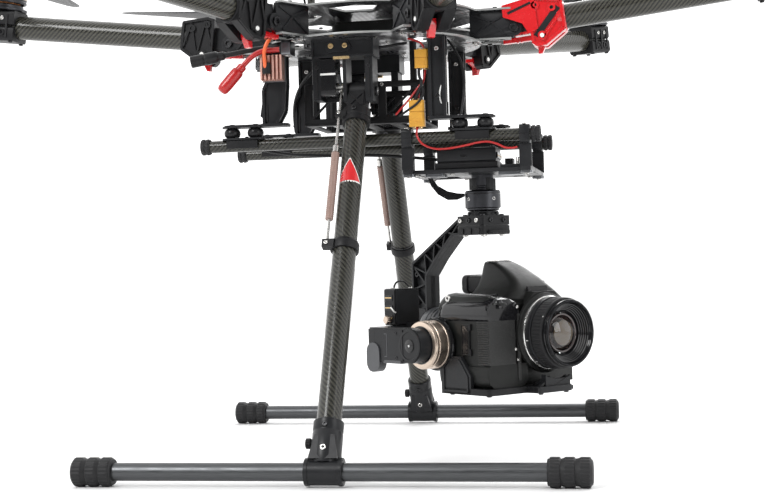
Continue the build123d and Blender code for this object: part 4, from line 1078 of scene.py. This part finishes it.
# ---------------- gimbal plate, controller and pan motor
from_cad("gimbal_plate", satin, 0.6)
s = Shape()
for x0, x1 in ((42, 52), (157, 167)):
    mid = (x0 + x1) / 2
    for side in (-1, 1):
        y = side * ROD_Y
        for dy in (-7.4, 7.4):
            s.screw(steel, (mid, y + dy, 321), UP, 1.9, 1.3)
            s.box(gloss, x0 - 0.2, x1 + 0.2, *sorted((y + dy * 0.86, y + dy * 1.22)), 311.7, 312.3)
        for dy in (-3.5, 3.5):
            s.ribs(satin, [(y + dy, 281), (y + dy, 303)], 1.6, x0 - 0.8, x1 + 0.8, FRONT)
        s.screw(steel, (mid, side * 57, 281), UP, 2.2, 1.6)
        s.pad(gunmetal, x0 - 1, x1 + 1, *flank(side, 53, 66), 274.6, 277.2, 3)
        s.screw(steel, (mid, side * 60, 274.8), DOWN, 2.4, 1.3)
for x, y in ((54, -50), (54, -24), (88, -50), (154, -50), (154, 0), (154, 50), (88, 50), (54, 50)):
    s.screw(steel, (x, y, 277), DOWN, 2.3, 1.6)
for y0, y1 in ((-56, -44), (-40, -28)):
    s.pad(gunmetal, 62, 80, y0, y1, 274.4, 277.2, 2)
    s.pad(gunmetal, 134, 158, y0, y1, 274.0, 277.2, 2)
s.pad(satin, 136, 160, -58, -14, 281, 284, 2)
s.pad(gloss, 140, 148, -50, -30, 284, 290, 1.5)
for i in range(3):
    s.turn(steel, [(0, 0), (2.2, 0), (2.2, 6), (1.6, 7), (0, 7)], at(153, -50 + 9 * i, 284), 20)
emit(s, "gimbal_plate_fittings", AIR, bevel=0.25)

s = Shape()
s.prism(black, rounded(-52, -12, 281, 288, 1.6), 72, 133, FRONT)
s.prism(satin, rounded(-51.4, -12.6, 288, 302, 2.4), 73.5, 131.5, FRONT)
s.box(gloss, 74, 131, -52.2, -51, 287.4, 288.4)
for i in range(5):
    s.box(gloss, 97 + 1.2 * i, 97.6 + 1.2 * i, -51.9, -51.2, 293, 295.6)
for x in (77, 128):
    for y in (-48, -16):
        s.screw(black_steel, (x, y, 302), UP, 1.9, 1.2)
for i in range(4):
    s.box(gloss, 131.2, 133.2, -48 + 9 * i, -42 + 9 * i, 291, 297)
    s.box(brass, 132.4, 133.4, -47 + 9 * i, -43 + 9 * i, 293, 294)
emit(s, "controller_box", AIR, bevel=0.4, stands_for="gimbal_controller")

PAN_X = 111
CAM, pan = at(PAN_X, 0, 0, 0, 0, -40), at(PAN_X)
s = Shape()
s.turn(anodised, [(0, 241.2), (15.4, 241.2), (16.4, 242), (16.4, 243.4), (18, 244.2), (18, 260.2),
                  (17, 261.6), (11, 262), (11, 264), (10.2, 264.6), (10.2, 266), (11, 266.6), (11, 277),
                  (0, 277)], pan, 64)
for i in range(4):
    c = pan @ at(rz=45 + 90 * i)
    s.prism(satin, [(8, -4), (15, -2.6), (15, 2.6), (8, 4)], 262, 274, c)
    s.screw(steel, c @ Vector((15, 0, 253)), c.to_3x3() @ Vector((1, 0, 0)), 2.0, 3.2)
s.turn(gloss, [(17.9, 257.6), (18.15, 257.8), (18.15, 258.6), (17.9, 258.8)], pan, 64, True)
emit(s, "yaw_motor", AIR, bevel=0.3, stands_for="pan_motor")


# ---------------- pan arm
mid_grey = grained("cap_grey", "black_plastic", (0.055, 0.057, 0.062), 0.4, 2400, 0.02)
s = Shape()
s.turn(satin, [(0, 236), (15.5, 236), (15.5, 237.6), (14.4, 238), (14.4, 239), (15.5, 239.4), (15.5, 240.2),
               (14.8, 240.7), (0, 240.7)], I, 56)
for i in range(8):
    s.prism(satin, rounded(13.6, 16.4, -2.2, 2.2, 1), 236, 239.6, at(rz=45 * i + 22))
for z0, z1 in ((217, 226), (226.6, 236)):
    s.pad(black, -20, 20, -20, 20, z0, z1, 5)
s.pad(gloss, -19, 19, -19, 19, 225.8, 226.8, 5)
for side in (-1, 1):
    for x in (-12, 0, 12):
        s.screw(steel if x else black_steel, (x, side * 20, 231.4), (0, side, 0), 2.4, 1.5)
        s.prism(black, rounded(x - 4, x + 4, 217.6, 223.6, 1.6), *flank(side, 19.6, 21), SIDE)
    for y in (-9, 9):
        s.screw(black_steel, (side * 20, y, 231.4), (side, 0, 0), 2.4, 1.5)
for x in (-13, 13):
    for y in (-13, 13):
        s.screw(steel, (x, y, 217), DOWN, 2.6, 1.8)
        s.screw(black_steel, (x, y, 236), UP, 2.4, 1.6)
s.pad(black, 18, 26, -13, 13, 218, 221, 2)
emit(s, "pan_clamp", "pan_stage", CAM, 0.45, stands_for="gimbal_arm")

s = Shape()
outline = [(-16, 236), (-26, 236), (-105, 190), (-105, 98), (-81, 98), (-81, 176), (-64, 194), (-38, 217),
           (-16, 217)]
rim = [(-17.4, 234.6), (-25.6, 234.6), (-103.6, 189.2), (-103.6, 99.4), (-82.4, 99.4), (-82.4, 176.5),
       (-65, 195.2), (-38.6, 218.4), (-17.4, 218.4)]
s.prism(satin, outline, -3.2, 3.2, SIDE)
for p, q in zip(rim, rim[1:] + rim[:1]):
    s.bar(satin, p, q, 2.8, -9, 9, SIDE)
truss = [(-27, 232), (-40, 219), (-50, 222), (-56, 204), (-68, 211), (-71, 190), (-85, 200), (-83, 179),
         (-103, 186), (-84, 168), (-103, 162), (-84, 144), (-103, 138)]
for p, q in zip(truss, truss[1:]):
    s.bar(satin, p, q, 1.8, -8, 8, SIDE)
s.prism(satin, rounded(-103, -83, 99, 142, 3), -9.4, 9.4, SIDE)
for z in (150, 178):
    for side in (-1, 1):
        s.turn(satin, band(1.2, 3, 0, 5), aim((-98, side * 3, z), (-98, side * 9, z)), 24, True)
for side in (-1, 1):
    for z in (106, 134):
        s.screw(black_steel, (-98, side * 9.4, z), (0, side, 0), 2.2, 1.4)
emit(s, "pan_beam", "pan_stage", CAM, 0.5)

s = Shape()
optic_centre = at(0, 0, 120)
roll_axis = optic_centre @ OUTWARD
s.turn(mid_grey, [(0, -84.6), (12, -84.4), (18, -83.4), (21.4, -81), (23, -77), (23, -71.4), (22.4, -71),
                  (22.4, -70.2), (23, -69.8), (23, -61), (22, -60), (4.1, -60)], roll_axis, 72)
for i in range(4):
    c = optic_centre @ at(rx=45 + 90 * i)
    s.screw(steel, c @ Vector((-83.8, 0, 14)), (-1, 0, 0.2), 1.9, 1.0)
s.turn(gloss, [(22.9, -66.4), (23.15, -66.2), (23.15, -64.6), (22.9, -64.4)], roll_axis, 72, True)
emit(s, "roll_motor_case", "pan_stage", CAM, 0.35)


# ---------------- roll frame
s = Shape()
s.turn(anodised, [(0, -59.7), (22, -59.7), (23, -58.7), (23, -53), (22, -52), (0, -52)], roll_axis, 72)
s.turn(steel, band(0, 4, -77, -59), roll_axis, 28)
s.prism(satin, rounded(-111, 16, 92, 128, 4), -51, -43, FRONT)
s.ribs(satin, band(-109.6, 14.4, 93.6, 126.4), 3, -52, -42, FRONT, close=True)
zig = [(-96, 94), (-84, 126), (-70, 94), (-56, 126), (-42, 94), (-28, 126)]
for p, q in zip(zig, zig[1:]):
    s.bar(satin, p, q, 2, -52, -42, FRONT)
emit(s, "roll_bar", "roll_stage", CAM, 0.45, stands_for="roll_frame")

s = Shape()
arm_side = [(-50, 97), (-46, 94), (2, 94)] + arc(12, 111, 17, -110, 110, 16) + [(2, 128), (-44, 128),
        (-50, 122)]
s.prism(satin, arm_side, -111, -98, SIDE)
s.prism(satin, band(-28, 2, 96, 126), -112, -110.6, SIDE)
s.turn(satin, [(0, 0), (16, 0), (16, 1), (13.4, 1.2), (13, 0.5), (0, 0.5)],
       aim((12, -111, 111), (12, -120, 111)), 56)
s.turn(gloss, [(0, 0), (6.4, 0), (6.4, 0.8), (5.4, 1.1), (0, 1.1)], aim((12, -111.3, 111), (12, -120, 111)),
       40)
s.turn(white, [(0, 0), (1.3, 0), (1.0, 0.5), (0, 0.6)], aim((12, -112.3, 111), (12, -120, 111)), 20)
s.prism(mid_grey, rounded(-54, -34, 84, 113, 9), -112.4, -103, SIDE)
s.prism(mid_grey, [(-28, 93.4), (0, 93.4), (-2, 96.4), (-26, 96.4)], -112.2, -98, SIDE)
s.ribs(mid_grey, band(-26, -22, 122, 100), 0.9, -112.25, -111.9, SIDE)
for x, z in ((-8, 99), (-8, 123)):
    s.screw(black_steel, (x, -111.9, z), (0, -1, 0), 1.7, 0.7)
s.tube(steel, (12, -80, 111), (12, -98, 111), 4, 0, 32)
emit(s, "roll_side_arm", "roll_stage", CAM, 0.5)

s = Shape()
s.prism(black, rounded(-84, -52, 128, 165, 2.4), -59, -43, FRONT)
s.prism(satin, rounded(-82.4, -53.6, 129.6, 163.4, 2), -60, -42, FRONT)
for z in (136, 146, 156):
    s.box(gloss, -58, -46, -84.6, -83, z - 2.8, z + 2.8)
    s.box(brass, -57, -47, -84.8, -84.2, z - 0.5, z + 0.5)
s.box(gloss, -60.4, -59.6, -78, -58, 150, 160)
s.prism(satin, rounded(-70, -50, 126, 131, 1.5), -56, -34, FRONT)
for y in (-80, -56):
    s.screw(steel, (-51, y, 165), UP, 1.9, 1.1)
emit(s, "video_module", "roll_stage", CAM, 0.4)

s = Shape()
lobe = lambda a: 4 + 0.3 * cos(14 * a)
s.turn(champagne, [(0, 0), (2.6, 0), (2.6, 0.8), (lobe, 1.2), (lobe, 4.8), (3.4, 5.8), (0, 6)],
       aim((-51, -84, 134), (-51, -90, 134)), 56)
emit(s, "module_knob", "roll_stage", CAM, 0.1, slot="champagne_metal")
wire("module_lead_a", [(-56, -74, 164), (-57, -72, 170), (-58, -64, 173), (-59, -56, 171), (-58, -50, 163),
                       (-56, -48, 154)], 0.9, lead_black, "roll_stage", CAM)
wire("module_lead_b", [(-48, -84.4, 146), (-44, -88, 147), (-41, -88, 144), (-42, -84, 141), (-45, -80, 142)],
     0.8, white, "roll_stage", CAM)


# ---------------- tilt stage
s = Shape()
tilt_axis = aim((12, 0, 111), (12, -10, 111))
s.turn(champagne, [(4.1, 97.7), (20, 97.7), (22.4, 97), (23.4, 95.6), (23.4, 93.6), (22.9, 93.2),
                   (22.9, 92.6), (23.4, 92.2), (23.4, 83), (22.9, 82.6), (22.9, 82), (23.4, 81.6),
                   (23.4, 79.2), (4.1, 79.2)], tilt_axis, 96, True)
s.turn(gloss, [(4.2, 97.6), (18.6, 97.6), (18.6, 98.0), (17.4, 98.1), (4.2, 98.1)], tilt_axis, 64, True)
emit(s, "tilt_motor", "camera_stage", CAM, 0.2, stands_for="tilt_tray")

s = Shape()
s.turn(gloss, [(0, 75), (25, 75), (26, 76), (26, 78), (25.2, 79), (0, 79)], tilt_axis, 96)
s.turn(satin, band(23.5, 25, 78.8, 80.6), tilt_axis, 96, True)
s.prism(satin, [(20, 64), (62, 64), (62, 82), (48, 100), (20, 100)], -79, -75, SIDE)
s.ribs(satin, [(24, 67), (58, 67), (58, 81), (46, 97), (24, 97)], 2, -80, -78.6, SIDE, close=True)
s.pad(black, 20, 88, -79, 30, 64, 70, 4)
for y in (-60, -40, -20, 0, 18):
    s.pad(satin, 26, 78, y - 6, y + 6, 63.4, 64.4, 3)
for y in (-74, 26):
    s.ribs(satin, [(22, 66), (86, 66)], 2.4, y - 1, y + 1, SIDE)
s.pad(satin, 84, 104, -30, 16, 64, 70, 4)
for i in range(9):
    s.box(black, 86 + 2 * i, 87 + 2 * i, -30.6, 16.6, 65, 69)
s.prism(satin, [(-18, 66), (15, 66), (15, 79)] + arc(0, 120, 44, -70, -114, 10) + [(-18, 81)], 95, 101, FRONT)
for side in (-1, 1):
    s.bar(satin, (80, 69), (99, 78), 2.6, *flank(side, 11, 15), SIDE)
    s.bar(satin, (side * 15 - 12 * (side < 0), 68), (side * 10, 78), 2.2, 96, 100, FRONT)
s.screw(steel, (60, 0, 63.6), DOWN, 8, 3)
for x, y in ((28, -72), (80, -72), (28, 24), (80, 24), (100, -24), (100, 10)):
    s.screw(black_steel, (x, y, 64), DOWN, 2.4, 1.6)
emit(s, "camera_tray", "camera_stage", CAM, 0.5)


# ---------------- reflex camera
CASE_BACK, CASE_FRONT, CASE_NEAR, CASE_FAR, CASE_TOP = 5, 84, -74, 66, 160
CORNER_Y, SLOPE_Y, SLOPE_X = 36, 14, 62     # start of the cut corner and of the two slopes
SIDE_FALL, FRONT_FALL = 0.42, 0.25


def layers(x0, x1, y0, y1, radius, levels):
    """Rounded rectangles at rising heights, each (height, inset, inset in y).

    The far front corner is cut off at 45 degrees, and the shoulders slope down to the far side and the front.
    """
    out = []
    for z, inset, side in levels:
        ring = rounded(x0 + inset, x1 - inset, y0 + side, y1 - side, max(2, radius - inset * 0.5), 6)
        points = []
        for x, y in ring:
            slope = SIDE_FALL * max(0.0, y - SLOPE_Y) + FRONT_FALL * max(0.0, x - SLOPE_X)
            level = min(z, CASE_TOP - slope) if z > 138 else z
            points.append((min(x, CASE_FRONT - max(0.0, y - CORNER_Y)), y, level))
        out.append(points)
    return out


s = Shape()
s.loft(shell, layers(CASE_BACK, CASE_FRONT, CASE_NEAR, CASE_FAR, 11, [(70, 4, 5), (71.4, 2, 2.4),
        (75, 0.5, 0.7), (82, 0, 0), (120, 0, 0), (140, 0, 0.2), (147, 0.2, 1.0), (152, 1, 3), (156, 2.6, 6.5),
        (158.8, 5, 11), (160, 8, 17)]))
emit(s, "camera_case", "camera_stage", CAM, 0, stands_for="camera_body")

s = Shape()
ridge = []
for z, x0, x1, half, corner in ((146, 6, 76, 46, 12), (152, 7, 75.5, 40, 12), (157, 8, 74.5, 34, 11),
                                (162, 9, 72.5, 28, 10), (167, 10, 68, 23.5, 9), (172, 10.5, 62.5, 20.5, 8),
                                (177, 11, 54.5, 18.5, 8), (182, 11.5, 45.5, 17, 7), (186, 12, 37, 16, 6.5),
                                (189, 12.6, 29.5, 15, 6), (190, 14, 27, 13, 5)):
    ridge.append([(x, y, z) for x, y in rounded(x0, x1, -half, half, corner, 6)])
s.loft(shell, ridge)
s.prism(gloss, [(-15, 154), (15, 154), (12, 165), (-12, 165)], 72, 75.4, FRONT)
emit(s, "finder_hump", "camera_stage", CAM, 0)

s = Shape()
grooves = [(92, 1.2, 1.2)]
for i in range(19):
    grooves += [(92.6 + 2.2 * i, 0.0, 0.0), (94.0 + 2.2 * i, 0.0, 0.0), (94.3 + 2.2 * i, 0.5, 0.5),
                (94.5 + 2.2 * i, 0.5, 0.5)]
s.loft(grip_leather, layers(60, 94, -74.2, -40, 9, grooves))
s.loft(shell, layers(7, 96, -76, -24, 15, [(69.6, 9, 9), (70.6, 5, 5), (73.4, 2, 2), (78, 0.4, 0.4),
                                           (87, 0, 0), (90.6, 1, 1), (92.2, 3, 3)]))
s.loft(gloss, layers(6, 96, -76.2, -34, 15, [(133.8, 2, 2), (135.4, 0.4, 0.4), (139, 0, 0), (143.5, 0.6, 0.5),
                                             (147.5, 2.4, 1.6), (151, 6, 4), (154, 11, 8), (156.5, 17, 12),
                                             (158, 24, 16)]))
s.prism(grip_leather, rounded(-38, -34, 76, 140, 1.8), 83.4, 84.8, FRONT)
s.prism(grip_leather, rounded(12, 50, 76, 132, 8), 65.4, 66.6, SIDE)
s.prism(shell, rounded(20, 46, 84, 122, 3), 66.2, 67.0, SIDE)
emit(s, "camera_grip", "camera_stage", CAM, 0.3)

s = Shape()
s.prism(gloss, rounded(46, 58, 101, 131, 2.4), -75.4, -73.6, SIDE)
s.ribs(shell, band(47, 57, 130, 102), 1.0, -75.9, -75.0, SIDE, close=True)
for z in (104, 128):
    s.box(black, 57, 60, -76.2, -74, z - 3, z + 3)
for x, z in ((22, 98), (22, 128), (40, 98)):
    s.screw(steel, (x, -73.8, z), (0, -1, 0), 1.4, 0.8, False)
for side in (-1, 1):
    s.turn(steel, band(1.6, 3.2, -0.8, 0.8), at(22, side * 66 - 4, 155, 90, 0, 0), 28, True)
s.pad(gloss, 40, 60, -50, -38, 156.4, 158.7, 2)
for x, y in ((66, -44), (72, -52), (60, -60)):
    s.turn(gloss, [(0, 0), (2.2, 0), (1.8, 1.2), (0, 1.3)], at(x, y, 156 - (abs(y) - 44) * 0.25), 24)
wheel = lambda a: 4.6 + 0.4 * cos(16 * a)
s.turn(black, [(0, -4), (wheel, -3.6), (wheel, 3.6), (0, 4)], at(70, -58, 150.6, 0, 90, 60), 64)
s.turn(shell, [(5.3, 0), (8.6, 0), (8.0, 1.8), (5.3, 2.2)], at(82, -60, 149), 40, True)
for side in (-1, 1):
    s.ribs(steel, [(14, side * 8.6), (27, side * 8.6)], 2, 189.2, 190.6)
    s.ribs(steel, [(14, side * 7.8), (27, side * 7.8)], 3.4, 190.2, 190.9)
s.box(black, 13, 28, -10.4, 10.4, 189, 189.9)
s.prism(black, rounded(-14, 14, 159, 176, 4), -14, 12, FRONT)
s.prism(cap_rubber, rounded(-15.5, 15.5, 157.6, 176.6, 6, 6), -18, -11, FRONT)
s.prism(clear, rounded(-9, 9, 162, 172, 2), -18.2, -17.6, FRONT)
s.prism(gloss, rounded(-34, 30, 84, 142, 2), 4.2, 5.4, FRONT)
s.prism(amber, rounded(-31, 27, 87, 139, 1), 3.9, 4.4, FRONT)
knurl = lambda a: 11 + 0.35 * cos(30 * a)
s.turn(black, [(4.5, 0), (knurl, 0), (knurl, 1.6), (9, 2.2), (4.5, 1.2)], aim((5, -52, 104), (-5, -52, 104)),
       96, True)
s.turn(gloss, [(0, 0), (4.3, 0), (3.8, 1.4), (0, 1.6)], aim((5, -52, 104), (-5, -52, 104)), 32)
for i in range(5):
    for y, z, r in ((36 + (i % 2) * 10, 92 + 12 * i, 2.3), (-44 - 6 * (i % 3), 124 + 6 * i, 2.1)):
        s.turn(gloss, [(0, 0), (r, 0), (r - 0.3, 1.1), (0, 1.2)], aim((5, y, z), (-5, y, z)), 24)
emit(s, "camera_controls", "camera_stage", CAM, 0.25)

s = Shape()
s.turn(shell, [(30, 83.4), (39, 83.4), (38.4, 86.2), (36.4, 87.4), (35.6, 88.8), (30, 88.8)], roll_axis, 96,
       True)
s.prism(shell, [(-24, 148), (24, 148), (14, 160), (-14, 160)], 72, 84, FRONT)
s.turn(shell, [(0, 84), (6, 84), (5.4, 88.4), (4.4, 89.4), (0, 89.6)], at(0, 38, 108) @ OUTWARD, 40)
for y, z in ((-30, 96), (-33, 106), (-30, 146)):
    s.screw(steel, (84, y - 7, z), (1, 0, 0), 1.6, 0.9, False)
s.turn(gloss, [(0, 0), (2.4, 0), (1.8, 1), (0, 1.2)], at(84, -40, 148) @ OUTWARD, 24)
emit(s, "mount_collar", "camera_stage", CAM, 0.3)

s = Shape()
s.turn(silver, [(33, 88.6), (35.6, 88.6), (35.6, 90.4), (35.0, 91), (33, 91)], roll_axis, 120, True)
s.turn(satin, [(30, 90.8), (34.4, 90.8), (34.8, 91.4), (34.8, 97.4), (34.2, 98), (30, 98)], roll_axis, 120,
       True)
s.turn(black, band(26.4, 31, 98, 112.8), roll_axis, 96, True)
s.turn(gloss, [(29, 112.3), (31.8, 112.3), (32, 113), (32, 114), (31.3, 114.6), (31.3, 115.4), (32, 116),
               (32, 117.2), (31.4, 118), (29.4, 118), (28.8, 117.2), (28.4, 115.4), (28, 113)], roll_axis,
       120, True)
s.turn(anodised, [(30.2, 117.9), (30.8, 117.9), (30.7, 118.15), (30.3, 118.15)], roll_axis, 120, True)
steps = [(28.6, 116.2)]
for i in range(6):
    r, a = 28.2 - 1.25 * i, 115.6 - 1.7 * i
    steps += [(r, a), (r - 0.4, a - 1.3)]
s.turn(gloss, steps + [(20.6, 104.4), (19, 103.4)], roll_axis, 96, caps=False)
s.turn(rose, [(0, 104.6), (8, 104.9), (14, 105.7), (18.6, 107), (19, 105.4), (0, 103.4)], roll_axis, 80)
for angle in range(45, 360, 90):
    petal = [(28.9, 117.4), (31.9, 117.4), (31.6, 118), (29.2, 118)]
    s.turn(satin, petal, roll_axis @ at(rz=angle), 64, True)
for angle in (100, 140, 180, 220):
    s.box(white, 92, 95, -0.4, 0.4, 34.7, 34.86, optic_centre @ at(rx=angle))
emit(s, "lens_barrel", "camera_stage", CAM, 0.12, stands_for="lens", slot="camera_black")

s = Shape()
dome = [(21.0 * sin(radians(a)) / sin(radians(40)), 104.2
         + 9 * (cos(radians(a)) - cos(radians(40))) / (1 - cos(radians(40)))) for a in range(0, 41, 4)]
s.turn(clear, [(0, 112.4)] + [(r, z - 0.9) for r, z in dome[1:]] + [(0, 103.4)], roll_axis, 80)
s.turn(amber, [(0, 107.9), (6, 107.6), (11.4, 106.4), (11.4, 105.6), (0, 105.6)], roll_axis, 64)
emit(s, "front_element", "camera_stage", CAM, 0)

s = Shape()
ribbed = lambda a: 34 - 0.75 * (0.5 + 0.5 * cos(60 * a)) ** 2
s.turn(cap_rubber, [(31.1, 98.3), (33.1, 98.3), (33.8, 98.9), (33.8, 99.9), (ribbed, 100.3), (ribbed, 109.6),
                    (33.8, 110), (33.8, 111.4), (33.1, 112), (31.1, 112)], roll_axis, 360, True)
s.box(white, 110.3, 111.3, -0.5, 0.5, 33.6, 33.92, optic_centre @ at(rx=60))
emit(s, "focus_grip", "focus_ring", CAM, 0, stands_for="focus_ring", slot="camera_black")

s, dial = Shape(), at(24, 48)
edge = lambda a: 8.9 - 0.35 * (0.5 + 0.5 * cos(28 * a))
s.turn(black, [(0, 160.3), (8.4, 160.3), (edge, 160.8), (edge, 167.2), (8.2, 168.4), (7.4, 169), (0, 169)],
       dial, 112)
s.turn(gloss, band(0, 6.6, 168.8, 169.2), dial, 48)
for i in range(8):
    s.box(white, 4.6, 6.0, -0.3, 0.3, 169.1, 169.32, dial @ at(rz=45 * i))
s.turn(steel, band(0, 2.5, 155, 160.4), dial, 20)
emit(s, "mode_wheel", "mode_dial", CAM, 0.12, stands_for="mode_dial", slot="camera_black")

s = Shape()
s.turn(gloss, [(0, 145), (4.9, 145), (4.9, 151.6), (4.2, 152.7), (2.6, 153), (0, 152.4)], at(82, -60), 48)
emit(s, "shutter_key", "shutter_button", CAM, 0.1, stands_for="shutter_button", slot="camera_black")


# ---------------- studio
floor_paint = Paint("studio_floor", "stage", Roughness=0.6)
cloud = floor_paint.noise(3, 3)
floor_paint.finish(floor_paint.blend(cloud, (0.86, 0.86, 0.86), (0.88, 0.88, 0.88)),
                   floor_paint.span(cloud, 0.6, 0.7), cloud, 0.01)
slab = bmesh.new()
corners = [slab.verts.new((x, y, 0.0)) for x, y in ((-30, -30), (30, -30), (30, 30), (-30, 30))]
slab.faces.new(corners)
mesh = bpy.data.meshes.new("studio_floor")
slab.to_mesh(mesh)
slab.free()
mesh.materials.append(floor_paint.mat)
floor = bpy.data.objects.new("studio_floor", mesh)
bpy.context.scene.collection.objects.link(floor)
floor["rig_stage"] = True

world = bpy.data.worlds.new("studio")
bpy.context.scene.world = world
world.use_nodes = True
background = world.node_tree.nodes["Background"]
background.inputs[0].default_value = (1, 1, 1, 1)
compass = world.node_tree.nodes.new("ShaderNodeTexCoord")
facing = world.node_tree.nodes.new("ShaderNodeVectorMath")
facing.operation = "DOT_PRODUCT"
facing.inputs[1].default_value = (sin(YAW), -cos(YAW), 0.25)
dimmer = world.node_tree.nodes.new("ShaderNodeMapRange")
for key, number in (("From Min", 0.15), ("From Max", 0.85), ("To Min", 1.6), ("To Max", 0.16)):
    dimmer.inputs[key].default_value = number
world.node_tree.links.new(compass.outputs["Generated"], facing.inputs[0])
world.node_tree.links.new(facing.outputs["Value"], dimmer.inputs["Value"])
world.node_tree.links.new(dimmer.outputs[0], background.inputs[1])


def soft_light(name, spot, target, size, power):
    lamp = bpy.data.lights.new(name, "AREA")
    lamp.shape, lamp.size, lamp.size_y, lamp.energy = "RECTANGLE", size[0], size[1], power
    obj = bpy.data.objects.new(name, lamp)
    bpy.context.scene.collection.objects.link(obj)
    obj.matrix_world = aim(spot, Vector(spot) * 2 - Vector(target))


soft_light("key", (-1.1, -1.9, 1.7), (0, 0, 0.25), (0.8, 0.9), 42)
soft_light("fill", (1.9, -1.3, 0.9), (0, 0, 0.25), (1.0, 1.4), 16)
soft_light("back", (0.4, 2.0, 1.6), (0, 0, 0.3), (2.4, 1.2), 26)

bpy.context.scene.view_settings.view_transform = "Standard"

# ---------------- size
end_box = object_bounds()
('{"start": [%s], "end": [%s]}\n' % tuple(
    ", ".join("%.5f" % c for corner in box for c in corner) for box in (start_box, end_box)))
